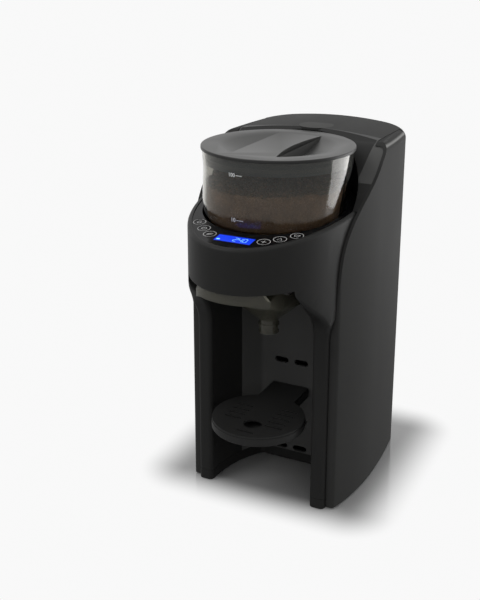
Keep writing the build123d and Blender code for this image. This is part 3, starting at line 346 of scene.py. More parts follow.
def refined(node, name, angle=30.0):
    """A clean copy of a CAD node: merged, its flats made whole, and shaded smooth."""
    mesh = nodes[node].data.copy()
    mesh.name = name
    mesh.materials.clear()
    work = bmesh.new()
    work.from_mesh(mesh)
    bmesh.ops.remove_doubles(work, verts=work.verts, dist=1e-6)
    bmesh.ops.dissolve_degenerate(work, dist=1e-6, edges=work.edges)
    bmesh.ops.dissolve_limit(work, angle_limit=math.radians(0.6), verts=work.verts, edges=work.edges)
    shade(work, angle)
    work.to_mesh(mesh)
    work.free()
    piece = new_piece(name, mesh, BODY_OF[node])
    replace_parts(piece, node)
    return piece


def crease(mesh, angle):
    """Shade a mesh smooth but for its sharp edges."""
    work = bmesh.new()
    work.from_mesh(mesh)
    shade(work, angle)
    work.to_mesh(mesh)
    work.free()


def new_piece(name, mesh, body):
    piece = linked(name, mesh)
    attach(piece, body)
    return piece


def paint(piece, finish):
    piece.data.materials.clear()
    piece.data.materials.append(finish.material)


def paint_node(name, finish):
    """Give a CAD node that stays its finish."""
    target = nodes[name]
    if not target.material_slots:
        target.data.materials.append(finish.material)
    for place in target.material_slots:
        place.material = finish.material


def evaluated(thing, name):
    """The object's mesh with its modifiers applied."""
    bpy.context.view_layer.update()
    graph = bpy.context.evaluated_depsgraph_get()
    mesh = bpy.data.meshes.new_from_object(thing.evaluated_get(graph))
    mesh.name = name
    return mesh


def baked(thing, name):
    """The evaluated object as a plain mesh, without the object itself."""
    mesh = evaluated(thing, name)
    bpy.data.objects.remove(thing)
    return mesh


def linked(name, data):
    thing = bpy.data.objects.new(name, data)
    bpy.context.scene.collection.objects.link(thing)
    return thing


def strokes(name, paths, width):
    """Lines of a width, drawn flat in x and y. A path is a list of points and whether it closes."""
    curve = bpy.data.curves.new(name, "CURVE")
    curve.dimensions = "3D"
    curve.bevel_depth = width / 2
    curve.bevel_resolution = 1
    curve.use_fill_caps = True
    for points, closed in paths:
        line = curve.splines.new("POLY")
        line.points.add(len(points) - 1)
        for spot, point in zip(line.points, points):
            spot.co = (*point, 0.0, 1.0)
        line.use_cyclic_u = closed
    return baked(linked(name, curve), name)


def lettering(name, text, height):
    """Plain numerals, drawn flat in x and y."""
    curve = bpy.data.curves.new(name, "FONT")
    curve.body = text
    curve.size = height / CAPITAL
    curve.align_x = "RIGHT"
    curve.align_y = "CENTER"
    curve.extrude = TEXT_DEPTH
    curve.offset = TEXT_WEIGHT
    curve.resolution_u = 3
    return baked(linked(name, curve), name)


def merged(name, meshes):
    """Several meshes as one."""
    work = bmesh.new()
    for mesh in meshes:
        work.from_mesh(mesh)
    whole = bpy.data.meshes.new(name)
    work.to_mesh(whole)
    work.free()
    return whole


def moved(mesh, matrix):
    mesh.transform(matrix)
    return mesh


def container_wall():
    """The container's faces, for rays that look for its wall."""
    source = nodes["powder_container"].data
    corners = [vert.co for vert in source.vertices]
    return BVHTree.FromPolygons(corners, [face.vertices for face in source.polygons])


def wrapped(mesh, wall, angle, level, lift):
    """Bend a flat print round the container, onto its outer face."""
    for vert in mesh.vertices:
        turn = angle + vert.co.x / PRINT_RADIUS
        out = Vector((math.sin(turn), -math.cos(turn), 0.0))
        start = Vector((0.0, AXIS_Y, level + vert.co.y)) + out * RAY_START
        hit = wall.ray_cast(start, -out)[0]
        vert.co = hit + out * (lift + vert.co.z)
    return mesh


def upper_plane(node):
    """A matrix whose x runs right and whose z stands up from the node's upper face, at its middle."""
    normal = Vector()
    middle = Vector()
    area = 0.0
    for face in nodes[node].data.polygons:
        if face.normal.z > 0.9:
            normal += face.normal * face.area
            middle += face.center * face.area
            area += face.area
    normal.normalize()
    right = Vector((1.0, 0.0, 0.0))
    turn = Matrix((right, normal.cross(right), normal)).transposed().to_4x4()
    return Matrix.Translation(middle / area) @ turn


def islands(node):
    """The middle of each separate solid's upper edge, from left to right."""
    work = bmesh.new()
    work.from_mesh(nodes[node].data)
    bmesh.ops.remove_doubles(work, verts=work.verts, dist=1e-6)
    left = set(work.verts)
    middles = []
    while left:
        grown = [left.pop()]
        for vert in grown:
            for edge in vert.link_edges:
                other = edge.other_vert(vert)
                if other in left:
                    left.discard(other)
                    grown.append(other)
        low = [min(v.co[i] for v in grown) for i in range(3)]
        high = [max(v.co[i] for v in grown) for i in range(3)]
        middles.append(Vector((low[i] + high[i]) / 2 for i in range(3)))
    work.free()
    return sorted(middles, key=lambda middle: middle.x)


# ---- Finishes ----
def moulded(name, color, roughness=0.5, grain=0.06, specular=0.5, scale=1800.0):
    """Moulded plastic with a fine etched grain and a faint unevenness."""
    finish = Finish(name)
    etched = finish.noise(scale, 2.0, 0.6)
    broad = finish.noise(22.0, 3.0, 0.55)
    finish.set(
        Base_Color=finish.blend(broad, rgba(color, 0.92), rgba(color, 1.08)),
        Roughness=broad * 0.08 + (roughness - 0.04),
        Specular_IOR_Level=specular,
        Normal=finish.bump(etched, grain, 0.0002),
    )
    return finish


def clear_plastic(name, tint, roughness=0.03, transmission=1.0, ior=1.45):
    """Clear or smoked moulded plastic."""
    finish = Finish(name)
    haze = finish.noise(60.0, 2.0, 0.5)
    finish.set(
        Base_Color=rgba(tint),
        Roughness=haze * 0.03 + roughness,
        Transmission_Weight=transmission,
        IOR=ior,
    )
    return finish


def metal(name, color, roughness):
    finish = Finish(name)
    grain = finish.noise(900.0, 3.0, 0.7)
    finish.set(Base_Color=rgba(color), Metallic=1.0, Roughness=grain * 0.12 + roughness)
    return finish


def powder_finish(name, color):
    """Fine powder: blotchy, with painted shade in its hollows, dead matt."""
    finish = Finish(name)
    blotches = finish.noise(70.0, 3.0, 0.6)
    crumbs = finish.noise(900.0, 4.0, 0.75)
    tone = finish.blend(blotches.fade(0.35, 0.7), rgba(color, 0.82), rgba(color, 1.15))
    # Painted shade: darker where the crumbs' bump is low.
    tone = finish.blend(crumbs.fade(0.38, 0.62), rgba(color, 0.55), tone)
    finish.set(
        Base_Color=tone,
        Roughness=0.95,
        Specular_IOR_Level=0.1,
        Normal=finish.bump(crumbs, 0.6, 0.0006),
    )
    return finish


def lid_finish(look):
    """Satin grey above, a darker rim, and a bluish skirt that shows through the clear wall."""
    finish = Finish("lid_grey")
    x, y, z = finish.axes()
    y = y - LID_Y
    reach = (x * x + y * y) ** 0.5
    broad = finish.noise(18.0, 2.0, 0.5)
    tone = finish.blend(broad, rgba(look.lid, 0.94), rgba(look.lid, 1.06))
    tone = finish.blend(reach > LID_RADIUS - LID_RIM, tone, rgba(look.housing))
    outer = (z < LID_HIGH.z - SKIRT_TOP) * (reach > LID_RADIUS - SKIRT_DEPTH)
    tone = finish.blend(outer, tone, rgba(look.skirt))
    etched = finish.noise(2200.0, 2.0, 0.6)
    finish.set(
        Base_Color=tone,
        Roughness=broad * 0.06 + 0.36,
        Specular_IOR_Level=0.3,
        Normal=finish.bump(etched, 0.03, 0.0002),
    )
    return finish


def shroud_finish(look):
    """Black, with a satin grey strip along the upper edge of each arm."""
    finish = moulded("shroud_black", look.housing, 0.44, specular=0.15)
    x, _, z = finish.axes()
    _, ny, nz = finish.facing()
    inner = (z - STRIP_START) * STRIP_SLOPE + STRIP_HALF
    strip = (x.math("ABSOLUTE") > inner) * (ny < -0.3) * (nz > 0.4) * (z > STRIP_LOW)
    finish.set(Base_Color=finish.blend(strip, finish.base(), rgba(look.wing_and_rim_highlight)))
    return finish


def panel_finish(look):
    """Charcoal, with a painted highlight line where the top edge turns over, and a painted highlight for
    the lit top of the tank lid's finger tab.
    """
    finish = moulded("panel_charcoal", look.panel, 0.5, specular=0.03)
    x, y, z = finish.axes()
    nx, _, nz = finish.facing()
    plain = finish.base()
    # Painted highlight: a light line on the faces that tilt like the rounded top edge, high up on the
    # side panels.
    line = 1.0 - (nz - RIM_HIGHLIGHT_TILT).math("ABSOLUTE").fade(0.0, RIM_HIGHLIGHT_SPREAD)
    edge = line * (nx.math("ABSOLUTE") > 0.5) * (z > RIM_HIGHLIGHT_LOW)
    tone = finish.blend(edge * RIM_HIGHLIGHT_SHARE, plain, rgba(look.wing_and_rim_highlight, RIM_HIGHLIGHT_GAIN))
    # Painted highlight: the lit top of the tank lid's finger tab, in the lid's grey.
    reach = (x * x + (y - TAB_HIGHLIGHT_MIDDLE) ** 2) ** 0.5
    tab = (reach < TAB_HIGHLIGHT_RADIUS) * (y < TAB_HIGHLIGHT_REAR) * (nz > 0.8)
    finish.set(Base_Color=finish.blend(tab, tone, rgba(look.lid)))
    return finish


def board_finish(name, color):
    """Lacquered board with faint copper tracks under the mask."""
    finish = Finish(name)
    sockets = {"Vector": finish.place(), "Scale": 160.0, "Mortar Size": 0.06}
    tracks = finish.add("ShaderNodeTexBrick", None, sockets, 1)
    tone = finish.blend(tracks, rgba(color), rgba(color, 1.7))
    relief = finish.bump(tracks, 0.1, 0.0001)
    finish.set(Base_Color=tone, Roughness=0.3, Coat_Weight=0.3, Normal=relief)
    return finish


# ---- Settings ----
def tint(name, description, default):
    settings = {"name": name, "description": description, "default": default}
    return bpy.props.FloatVectorProperty(subtype="COLOR", **settings)


def length(name, description, default):
    settings = {"name": name, "description": description, "default": default}
    return bpy.props.FloatProperty(unit="LENGTH", precision=5, **settings)


def number(name, description, default, unit="NONE"):
    settings = {"name": name, "description": description, "default": default}
    return bpy.props.FloatProperty(unit=unit, **settings)


class FORMULA_PG_finish(bpy.types.PropertyGroup):
    housing: tint("Housing", "Colour of the front housing", (0.0195, 0.0195, 0.019))
    bay: tint("Bay", "Colour of the bay's rear wall", (0.085, 0.085, 0.083))
    # This colour also sets the painted highlight line along the side panels' top edge.
    wing_and_rim_highlight: tint("Wing", "Colour of the strip along the shroud's arms", (0.085, 0.085, 0.083))
    panel: tint("Panels", "Colour of the side panels", (0.040, 0.040, 0.0391))
    lid: tint("Lid", "Colour of the container's lid", (0.066, 0.066, 0.064))
    skirt: tint("Skirt", "Colour of the lid's skirt inside the container", (0.066, 0.080, 0.094))
    smoke: tint("Smoke", "Tint of the clear container", (0.52, 0.51, 0.47))
    powder: tint("Powder", "Colour of the formula powder", (0.32, 0.205, 0.132))
    crumbs: tint("Crumbs", "Colour of the loose powder on top", (0.19, 0.145, 0.095))
    backlight: tint("Backlight", "Colour of the display", (0.002, 0.046, 0.86))
    digits: tint("Digits", "Colour of the display's digits", (0.22, 0.62, 1.0))
    print_grey: tint("Print", "Colour of the printed marks", (0.86, 0.86, 0.86))


class FORMULA_PG_fill(bpy.types.PropertyGroup):
    level: length("Level", "Height of the powder's surface", 333.0 * MM)
    floor: length("Floor", "Height where the powder starts, above the mixing wheel", 297.0 * MM)
    play: length("Play", "Between the powder and the wall", 0.5 * MM)
    grain: length("Grain", "Radius of a crumb of powder", 1.0 * MM)
    density: number("Density", "Crumbs to a square metre", 230000.0)
    seed: bpy.props.IntProperty(name="Seed", description="Seed of the scatter", default=7)


class FORMULA_PG_stage(bpy.types.PropertyGroup):
    key_light: number("Key light", "Strength of the main light", 9.0, "POWER")
    sky: number("Sky", "Strength of the light from all round", 0.64)
    background: tint("Background", "Colour behind the object", (0.945, 0.945, 0.945))


# ---- Pieces ----
class FORMULA_OT_shells(bpy.types.Operator):
    """Housing, base, bay, shroud, tank seat, collar and lid"""

    bl_idname = "formula.shells"
    bl_label = "Shells"

    def execute(self, context):
        look = context.scene.formula_finish
        black = moulded("housing_black", look.housing, 0.44, specular=0.15)
        charcoal = moulded("tank_charcoal", look.panel, 0.5, specular=0.03)
        panel = panel_finish(look)
        shroud = shroud_finish(look)
        bay = moulded("bay_black", look.bay, 0.5, specular=0.2)
        for finish, names in (
            (shroud, ("top_shroud",)),
            (black, ("front_housing", "base_frame", "container_seat")),
            (bay, ("bay_back_panel",)),
            (panel, ("side_panel_left", "side_panel_right", "tank_lid")),
            (charcoal, ("tank_collar", "tank_seat")),
        ):
            for node in names:
                paint(refined(node, node + "_shell", SHELL_EDGE), finish)
        return {"FINISHED"}


class FORMULA_OT_deck(bpy.types.Operator):
    """Glossy control deck, display and touch keys"""

    bl_idname = "formula.deck"
    bl_label = "Control deck"

    def execute(self, context):
        look = context.scene.formula_finish
        gloss = Finish("deck_gloss")
        swirl = gloss.noise(12.0, 2.0, 0.5)
        gloss.set(
            Base_Color=rgba((0.004, 0.004, 0.0045)),
            Roughness=swirl * 0.02 + 0.02,
            Specular_IOR_Level=0.08,
        )
        paint(refined("control_deck", "control_deck_plate"), gloss)
        glow = Finish("display_blue")
        cells = glow.noise(90.0, 1.0, 0.5)
        light = glow.blend(cells, rgba(look.backlight, 0.85), rgba(look.backlight))
        glow.set(
            Base_Color=rgba(look.backlight, 0.25),
            Roughness=0.25,
            Emission_Color=light,
            Emission_Strength=0.95,
        )
        paint(refined("lcd_display", "lcd_display_glass"), glow)
        keys = new_piece("key_marks", key_marks(), "machine")
        paint(keys, moulded("key_print", look.print_grey, 0.5, 0.0))
        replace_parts(keys, "key_rings")
        lit = Finish("display_digits")
        flicker = lit.noise(400.0, 1.0, 0.5)
        bright = lit.blend(flicker, rgba(look.digits, 0.9), rgba(look.digits))
        lit.set(Base_Color=bright, Roughness=0.3, Emission_Color=bright, Emission_Strength=0.9)
        digits = new_piece("display_digits", display_digits("240"), "machine")
        paint(digits, lit)
        return {"FINISHED"}


def display_digits(text):
    """Seven-segment digits at the display's right, and a stack of bars at its left."""
    half = DIGIT_TALL / 2
    corners = {
        "a": ((0, DIGIT_TALL), (DIGIT_WIDE, DIGIT_TALL)),
        "b": ((DIGIT_WIDE, DIGIT_TALL), (DIGIT_WIDE, half)),
        "c": ((DIGIT_WIDE, half), (DIGIT_WIDE, 0)),
        "d": ((DIGIT_WIDE, 0), (0, 0)),
        "e": ((0, 0), (0, half)),
        "f": ((0, half), (0, DIGIT_TALL)),
        "g": ((0, half), (DIGIT_WIDE, half)),
    }
    paths = []
    for place, digit in enumerate(text):
        shift = place * DIGIT_PITCH - DIGIT_START
        for key in SEGMENTS[digit]:
            start, end = (Vector(point) for point in corners[key])
            ends = (start.lerp(end, DIGIT_NICK), end.lerp(start, DIGIT_NICK))
            paths.append(([(p.x + shift, p.y - half) for p in ends], False))
    for bar in range(BAR_COUNT):
        low = (bar * BAR_PITCH + BAR_LOW) * MM
        paths.append(([(BAR_LEFT * MM, low), (BAR_RIGHT * MM, low)], False))
    mesh = strokes("display_digits", paths, DIGIT_LINE)
    lift = Matrix.Translation((0, 0, PRINT_LIFT))
    return moved(mesh, upper_plane("lcd_display") @ lift @ PRINT_THIN)


def arc(radius, start, end, steps=14):
    """Points on an arc round the origin, from one angle to another in degrees."""
    angles = [math.radians(start + (end - start) * i / steps) for i in range(steps + 1)]
    return [(radius * math.cos(a), radius * math.sin(a)) for a in angles]


def key_marks():
    """A thin ring for each key, with a sign: drop, power, leaf, plus, triangle and cup."""
    drop = [(0.0, 3.0)] + [(x, y - 0.7) for x, y in arc(1.9, 25, -205)]
    leaf = [(-2.6, -2.0), (-1.6, 0.4), (0.6, 1.8), (2.6, 2.0), (1.9, -0.2), (0.2, -1.6)]
    cup = [(-2.6, 1.6), (-1.8, -1.9), (1.8, -1.9), (2.6, 1.6)]
    signs = (
        [(drop, True)],
        [(arc(2.4, 120, 420), False), ([(0.0, 0.4), (0.0, 3.2)], False)],
        [(leaf, True), ([(-2.6, -2.0), (1.4, 0.8)], False)],
        [([(-2.6, 0.0), (2.6, 0.0)], False), ([(0.0, -2.6), (0.0, 2.6)], False)],
        [([(-2.5, -1.8), (2.5, -1.8), (0.0, 2.5)], True)],
        [(cup, False), ([(-3.2, 1.6), (3.2, 1.6)], False)],
    )
    deck = upper_plane("key_rings").to_3x3().to_4x4()
    meshes = []
    ring = (arc(KEY_RADIUS, 0, 350, 35), True)
    for spot, sign in zip(islands("key_rings"), signs):
        paths = [([(x * MM, y * MM) for x, y in points], closed) for points, closed in (ring, *sign)]
        mark = strokes("key_mark", paths, KEY_LINE * MM)
        meshes.append(moved(mark, Matrix.Translation(spot) @ deck @ PRINT_THIN))
    return merged("key_marks", meshes)


def crumb_tree():
    """Scatter crumbs over a surface: its sizes are the tree's inputs."""
    tree = bpy.data.node_groups.new("crumbs", "GeometryNodeTree")
    for name, way, kind in (
        ("Geometry", "INPUT", "NodeSocketGeometry"),
        ("Density", "INPUT", "NodeSocketFloat"),
        ("Grain", "INPUT", "NodeSocketFloat"),
        ("Seed", "INPUT", "NodeSocketInt"),
        ("Material", "INPUT", "NodeSocketMaterial"),
        ("Geometry", "OUTPUT", "NodeSocketGeometry"),
    ):
        tree.interface.new_socket(name, in_out=way, socket_type=kind)

    def node(kind, **settings):
        made = tree.nodes.new(kind)
        for key, value in settings.items():
            setattr(made, key, value)
        return made

    given = node("NodeGroupInput").outputs
    scatter = node("GeometryNodeDistributePointsOnFaces")
    crumb = node("GeometryNodeMeshIcoSphere")
    turn = node("FunctionNodeRandomValue", data_type="FLOAT_VECTOR")
    turn.inputs["Max"].default_value = (math.tau, math.tau, math.tau)
    size = node("FunctionNodeRandomValue", data_type="FLOAT_VECTOR")
    size.inputs["Min"].default_value = CRUMB_LEAST
    size.inputs["Max"].default_value = CRUMB_MOST
    spread = node("GeometryNodeInstanceOnPoints")
    whole = node("GeometryNodeRealizeInstances")
    painted = node("GeometryNodeSetMaterial")
    result = node("NodeGroupOutput")
    join = tree.links.new
    join(given["Geometry"], scatter.inputs["Mesh"])
    join(given["Density"], scatter.inputs["Density"])
    join(given["Seed"], scatter.inputs["Seed"])
    join(given["Seed"], turn.inputs["Seed"])
    join(given["Seed"], size.inputs["Seed"])
    join(given["Grain"], crumb.inputs["Radius"])
    join(scatter.outputs["Points"], spread.inputs["Points"])
    join(crumb.outputs["Mesh"], spread.inputs["Instance"])
    join(turn.outputs["Value"], spread.inputs["Rotation"])
    join(size.outputs["Value"], spread.inputs["Scale"])
    join(spread.outputs["Instances"], whole.inputs["Geometry"])
    join(whole.outputs["Geometry"], painted.inputs["Geometry"])
    join(given["Material"], painted.inputs["Material"])
    join(painted.outputs["Geometry"], result.inputs["Geometry"])
    return tree


def grown(name, base, tree, values):
    """Run a tree on a mesh and keep what it makes as a plain mesh."""
    carrier = linked(name, base)
    grow = carrier.modifiers.new("grow", "NODES")
    grow.node_group = tree
    for item in tree.interface.items_tree:
        if item.in_out == "INPUT" and item.name in values:
            grow[item.identifier] = values[item.name]
    return baked(carrier, name)


class FORMULA_OT_container(bpy.types.Operator):
    """Clear container, its printed level marks and its lid"""

    bl_idname = "formula.container"
    bl_label = "Powder container"

    def execute(self, context):
        look = context.scene.formula_finish
        clear = clear_plastic("container_clear", look.smoke)
        paint(refined("powder_container", "powder_container_wall"), clear)
        lid = refined("container_lid", "container_lid_shell")
        hollow_grip(lid)
        paint(lid, lid_finish(look))
        marks = new_piece("level_marks", level_marks(), "container")
        paint(marks, moulded("mark_white", (0.8, 0.8, 0.79), 0.5, 0.0))
        return {"FINISHED"}


def grip_scoop(grow):
    """A closed lens whose floor carries the pocket's round floor on into the handle bar."""
    edge = GRIP_EDGE + POCKET_OFFSET
    rise = (POCKET_RADIUS**2 - edge**2 - POCKET_DEPTH**2) / (2 * POCKET_DEPTH)
    ball = math.hypot(POCKET_RADIUS, rise)
    half = math.sqrt(POCKET_RADIUS**2 - edge**2)
    top = LID_HIGH.z + (MM if grow == 0 else -MM)
    along = 40
    across = 8
    work = bmesh.new()
    floor = []
    roof = []
    for i in range(along + 1):
        y = half * (2 * i / along - 1)
        waist = GRIP_EDGE - GRIP_WAIST * (1 - (y / half) ** 2) - grow
        for j in range(across + 1):
            x = waist + (GRIP_EDGE + SCOOP_OVERLAP - waist) * j / across
            low = LID_HIGH.z + rise - math.sqrt(ball**2 - (x + POCKET_OFFSET) ** 2 - y**2) - grow
            floor.append(work.verts.new((x, LID_Y + y, min(low, top - SCOOP_LEAST))))
            roof.append(work.verts.new((x, LID_Y + y, top)))
    row = across + 1
    for sheet in (floor, roof):
        for i in range(along):
            for j in range(across):
                at = i * row + j
                work.faces.new((sheet[at], sheet[at + 1], sheet[at + row + 1], sheet[at + row]))
    rim = [i * row for i in range(along + 1)] + [along * row + j for j in range(1, row)]
    rim += [i * row + across for i in range(along - 1, -1, -1)] + list(range(across - 1, 0, -1))
    for here, there in zip(rim, rim[1:] + rim[:1]):
        work.faces.new((floor[here], floor[there], roof[there], roof[here]))
    bmesh.ops.recalc_face_normals(work, faces=work.faces)
    mesh = bpy.data.meshes.new("grip_scoop")
    work.to_mesh(mesh)
    work.free()
    return linked("grip_scoop", mesh)


def hollow_grip(lid):
    """Curve the right wall of the lid's handle bar inwards, with a wall of its own behind it."""
    cutters = [grip_scoop(LID_WALL), grip_scoop(0.0)]
    for cutter, operation in zip(cutters, ("UNION", "DIFFERENCE")):
        step = lid.modifiers.new(operation, "BOOLEAN")
        step.operation = operation
        step.object = cutter
    mesh = evaluated(lid, "container_lid_shell")
    lid.modifiers.clear()
    lid.data = mesh
    for cutter in cutters:
        bpy.data.objects.remove(cutter)
    crease(mesh, 30.0)


def level_marks():
    """Two level marks, each a plain number and a short line."""
    wall = container_wall()
    meshes = []
    for text, angle, level in LEVELS:
        digits = lettering("level_number", text, MARK_TALL)
        line = strokes("level_line", [([(MARK_START, 0.0), (MARK_LONG, 0.0)], False)], MARK_LINE)
        moved(line, MARK_THIN)
        for mesh in (digits, line):
            meshes.append(wrapped(mesh, wall, math.radians(angle), level * MM, MARK_LIFT))
    return merged("level_marks", meshes)


class FORMULA_OT_powder(bpy.types.Operator):
    """Formula powder in the container, with loose crumbs on top"""

    bl_idname = "formula.powder"
    bl_label = "Powder"

    def execute(self, context):
        look = context.scene.formula_finish
        fill = context.scene.formula_fill
        body = new_piece("powder_body", powder_body(fill), "container")
        paint(body, powder_finish("powder_beige", look.powder))
        loose = powder_finish("powder_crumbs", look.crumbs)
        top = bmesh.new()
        top.from_mesh(body.data)
        sides = [face for face in top.faces if face.normal.z < STEEP]
        bmesh.ops.delete(top, geom=sides, context="FACES")
        surface = bpy.data.meshes.new("powder_surface")
        top.to_mesh(surface)
        top.free()
        values = {"Density": fill.density, "Grain": fill.grain, "Seed": fill.seed}
        values["Material"] = loose.material
        crumbs = grown("powder_crumbs", surface, crumb_tree(), values)
        new_piece("powder_crumbs", crumbs, "container")
        return {"FINISHED"}


def powder_body(fill):
    """A closed body that fills the container up to an uneven surface."""
    wall = container_wall()
    turns = 180
    side_rows = 8
    rings = 26
    inner = 0.03

    def surface(x, y):
        height = fill.level
        for waves, layer, tall in POWDER_WAVES:
            height += noise.noise(Vector((x * waves, y * waves, layer))) * tall * MM
        return height

    def wall_point(turn, height):
        out = Vector((math.sin(turn), -math.cos(turn), 0.0))
        centre = Vector((0.0, AXIS_Y, height))
        reach = wall.ray_cast(centre + out * inner, out)[3] + inner - fill.play
        return centre + out * reach

    work = bmesh.new()
    rows = []
    edge = []
    for step in range(turns):
        turn = math.tau * step / turns
        guess = wall_point(turn, fill.level)
        edge.append(surface(guess.x, guess.y))
    for row in range(side_rows + 1):
        share = row / side_rows
        heights = [fill.floor + (high - fill.floor) * share for high in edge]
        rows.append([work.verts.new(wall_point(math.tau * i / turns, heights[i])) for i in range(turns)])
    centre = Vector((0.0, AXIS_Y, 0.0))
    for ring in range(1, rings):
        share = 1.0 - ring / rings
        flat = [centre.lerp(rows[side_rows][i].co, share) for i in range(turns)]
        rows.append([work.verts.new((p.x, p.y, surface(p.x, p.y))) for p in flat])
    for lower, upper in zip(rows, rows[1:]):
        for i in range(turns):
            j = (i + 1) % turns
            work.faces.new((lower[i], lower[j], upper[j], upper[i]))
    tip = work.verts.new((0.0, AXIS_Y, surface(0.0, AXIS_Y)))
    last = rows[-1]
    for i in range(turns):
        work.faces.new((last[i], last[(i + 1) % turns], tip))
    work.faces.new(list(reversed(rows[0])))
    bmesh.ops.recalc_face_normals(work, faces=work.faces)
    for face in work.faces:
        face.smooth = True
    mesh = bpy.data.meshes.new("powder_body")
    work.to_mesh(mesh)
    work.free()
    return mesh


class FORMULA_OT_funnel(bpy.types.Operator):
    """Funnel and its cover"""

    bl_idname = "formula.funnel"
    bl_label = "Funnel"

    def execute(self, context):
        smoke = clear_plastic("funnel_smoke", (0.18, 0.174, 0.138), 0.2, 0.72)
        for node in ("funnel", "funnel_cover"):
            paint(refined(node, node + "_body"), smoke)
        return {"FINISHED"}


class FORMULA_OT_tray(bpy.types.Operator):
    """Drip tray"""

    bl_idname = "formula.tray"
    bl_label = "Drip tray"

    def execute(self, context):
        black = moulded("tray_black", context.scene.formula_finish.housing, 0.45, specular=0.25)
        for node in ("drip_tray", "tray_cover"):
            paint(refined(node, node + "_shell"), black)
        return {"FINISHED"}


class FORMULA_OT_tank(bpy.types.Operator):
    """Smoked water tank and its valve's spring"""

    bl_idname = "formula.tank"
    bl_label = "Water tank"

    def execute(self, context):
        smoke = clear_plastic("tank_smoke", (0.16, 0.17, 0.18), 0.05, 0.9)
        paint(refined("water_tank", "water_tank_wall"), smoke)
        coil = refined("tank_valve_spring", "tank_valve_coil", COIL_EDGE)
        paint(coil, metal("spring_steel", (0.6, 0.6, 0.6), 0.25))
        low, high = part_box("tank_valve_spring")
        tall = high[2] - low[2]
        travel = next(j["range_m"][1] for j in frame["joints"] if j["name"] == "tank_valve_lift")
        (tall - travel) / tall
        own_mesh(coil)
        return {"FINISHED"}


class FORMULA_OT_machinery(bpy.types.Operator):
    """Finishes of the working parts inside"""

    bl_idname = "formula.machinery"
    bl_label = "Machinery"

    def execute(self, context):
        done = {o.get("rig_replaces")[0] for o in bpy.data.objects if o.get("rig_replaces")}
        plain = {
            "acetal_white": moulded("acetal_white", (0.68, 0.67, 0.63), 0.4, 0.02),
            "inner_grey": moulded("inner_grey", (0.06, 0.06, 0.06), 0.55),
            "wheel_grey": moulded("wheel_grey", (0.25, 0.25, 0.25), 0.45),
            "rubber_black": moulded("rubber_black", (0.015, 0.015, 0.015), 0.8, 0.1, 0.2),
            "seal_silicone": moulded("seal_silicone", (0.07, 0.08, 0.09), 0.5, 0.0),
            "hose_silicone": moulded("hose_silicone", (0.6, 0.6, 0.57), 0.35, 0.0),
            "screw_steel": metal("screw_steel", (0.6, 0.6, 0.6), 0.25),
            "motor_steel": metal("motor_steel", (0.5, 0.5, 0.51), 0.3),
            "heater_aluminium": metal("heater_aluminium", (0.72, 0.72, 0.72), 0.35),
            "board_green": board_finish("board_green", (0.02, 0.12, 0.05)),
            "pump_black": moulded("pump_black", (0.025, 0.025, 0.025), 0.45),
        }
        for name, slot in SLOT_OF.items():
            if name not in done:
                paint_node(name, plain[slot])
        return {"FINISHED"}


class FORMULA_OT_stage(bpy.types.Operator):
    """Floor, backdrop, lights and camera"""

    bl_idname = "formula.stage"
    bl_label = "Stage"

    def execute(self, context):
        scene = context.scene
        look = scene.formula_stage
        scene.view_settings.view_transform = "Standard"
        floor_mesh(look)
        sky(scene, look)
        for name, place, aim, size, share in LAMPS:
            lamp = bpy.data.lights.new(name, "AREA")
            lamp.shape = "RECTANGLE"
            lamp.size, lamp.size_y = size
            lamp.energy = look.key_light * share
            holder = linked(name, lamp)
            holder.location = place
            holder.rotation_euler = (Vector(aim) - Vector(place)).to_track_quat("-Z", "Y").to_euler()
        set_camera(scene)
        return {"FINISHED"}


def seen(finish, kinds=("Is Camera Ray", "Is Glossy Ray", "Is Transmission Ray")):
    """1 for a ray of one of these kinds, else 0."""
    rays = finish.add("ShaderNodeLightPath", out="Is Camera Ray").value.node.outputs
    total = Link(finish, rays[kinds[0]])
    for kind in kinds[1:]:
        total = total.math("MAXIMUM", Link(finish, rays[kind]))
    return total


def floor_mesh(look):
    """A floor that curves up into a backdrop, plain white to the eye beyond the object's shadow."""
    sweep = bmesh.new()
    path = [(SWEEP_FRONT, 0.0), (SWEEP_BEND, 0.0)]
    for angle in range(6, 91, 6):
        turn = math.radians(angle)
        rise = SWEEP_RADIUS - SWEEP_RADIUS * math.cos(turn)
        path.append((SWEEP_BEND + SWEEP_RADIUS * math.sin(turn), rise))
    path.append((SWEEP_BEND + SWEEP_RADIUS, SWEEP_TOP))
    rows = [[sweep.verts.new((x, y, z)) for y, z in path] for x in (-SWEEP_HALF, SWEEP_HALF)]
    for i in range(len(path) - 1):
        sweep.faces.new((rows[0][i], rows[1][i], rows[1][i + 1], rows[0][i + 1])).smooth = True
    mesh = bpy.data.meshes.new("sweep")
    sweep.to_mesh(mesh)
    sweep.free()
    floor = linked("sweep", mesh)
    pale = Finish("pale_floor")
    tone = rgba((FLOOR_TONE, FLOOR_TONE, FLOOR_TONE))
    pale.set(Base_Color=tone, Roughness=0.1, Specular_IOR_Level=1.0)
    output = pale.nodes["Material Output"].inputs["Surface"]
    white = pale.add("ShaderNodeEmission", None, {"Color": rgba(look.background), "Strength": 1.0})
    x, y, _ = pale.axes()
    beside = (x.math("ABSOLUTE") - CAD_BOX[1].x).math("MAXIMUM", 0.0)
    ahead = ((y - FOOT_MIDDLE).math("ABSOLUTE") - FOOT_HALF).math("MAXIMUM", 0.0)
    far = (beside * beside + ahead * ahead) ** 0.5
    share = seen(pale, ("Is Camera Ray", "Is Transmission Ray")) * far.fade(0.0, SHADOW_REACH)
    behind = seen(pale, ("Is Glossy Ray",)) * y.fade(MIRROR_START, MIRROR_END)
    share = share.math("MAXIMUM", behind)
    mixed = pale.add("ShaderNodeMixShader", None, [share, Link(pale, pale.shader.outputs[0]), white])
    pale.join(mixed, output)
    floor.data.materials.append(pale.material)


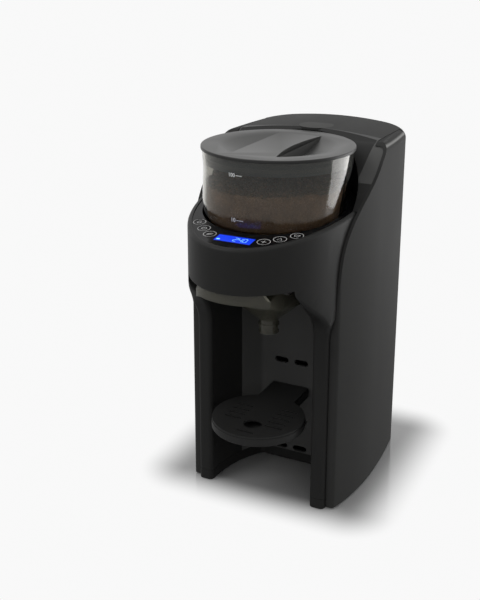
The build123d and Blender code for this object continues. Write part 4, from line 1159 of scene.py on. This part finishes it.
def sky(scene, look):
    """White to the eye and to mirrors, softer as a light."""
    world = bpy.data.worlds.new("studio")
    scene.world = world
    world.use_nodes = True
    tree = Finish.__new__(Finish)
    tree.nodes = world.node_tree.nodes
    tree.links = world.node_tree.links
    back = tree.nodes["Background"]
    back.inputs["Color"].default_value = rgba(look.background)
    watched = seen(tree)
    tree.join(watched * (1.0 - look.sky) + look.sky, back.inputs["Strength"])


def set_camera(scene):
    lens = bpy.data.cameras.new("camera")
    lens.sensor_width = 36.0
    lens.lens = CAMERA_LENS
    lens.shift_y = CAMERA_SHIFT
    lens.clip_start = 0.02
    holder = linked("camera", lens)
    turn = Matrix((CAMERA_RIGHT, CAMERA_UP, CAMERA_BACK)).transposed().to_4x4()
    holder.matrix_world = Matrix.Translation(CAMERA_PLACE) @ turn
    scene.camera = holder


class FORMULA_PT_panel(bpy.types.Panel):
    bl_label = "Formula Maker"
    bl_idname = "FORMULA_PT_panel"
    bl_space_type = "VIEW_3D"
    bl_region_type = "UI"
    bl_category = "Formula Maker"

    def draw(self, context):
        scene = context.scene
        for group in (scene.formula_finish, scene.formula_fill, scene.formula_stage):
            for key in group.__annotations__:
                self.layout.prop(group, key)
        for step in STEPS:
            self.layout.operator(step.bl_idname)


STEPS = (
    FORMULA_OT_shells,
    FORMULA_OT_deck,
    FORMULA_OT_container,
    FORMULA_OT_powder,
    FORMULA_OT_funnel,
    FORMULA_OT_tray,
    FORMULA_OT_tank,
    FORMULA_OT_machinery,
    FORMULA_OT_stage,
)
GROUPS = {
    "formula_finish": FORMULA_PG_finish,
    "formula_fill": FORMULA_PG_fill,
    "formula_stage": FORMULA_PG_stage,
}
CLASSES = (*GROUPS.values(), *STEPS, FORMULA_PT_panel)


def register():
    for each in CLASSES:
        bpy.utils.register_class(each)
    for name, group in GROUPS.items():
        setattr(bpy.types.Scene, name, bpy.props.PointerProperty(type=group))


def unregister():
    for name in GROUPS:
        delattr(bpy.types.Scene, name)
    for each in reversed(CLASSES):
        bpy.utils.unregister_class(each)


def main():
    register()
    for step in STEPS:
        getattr(bpy.ops.formula, step.bl_idname.split(".")[1])()
    bpy.context.view_layer.update()


if __name__ == "__main__":
    main()
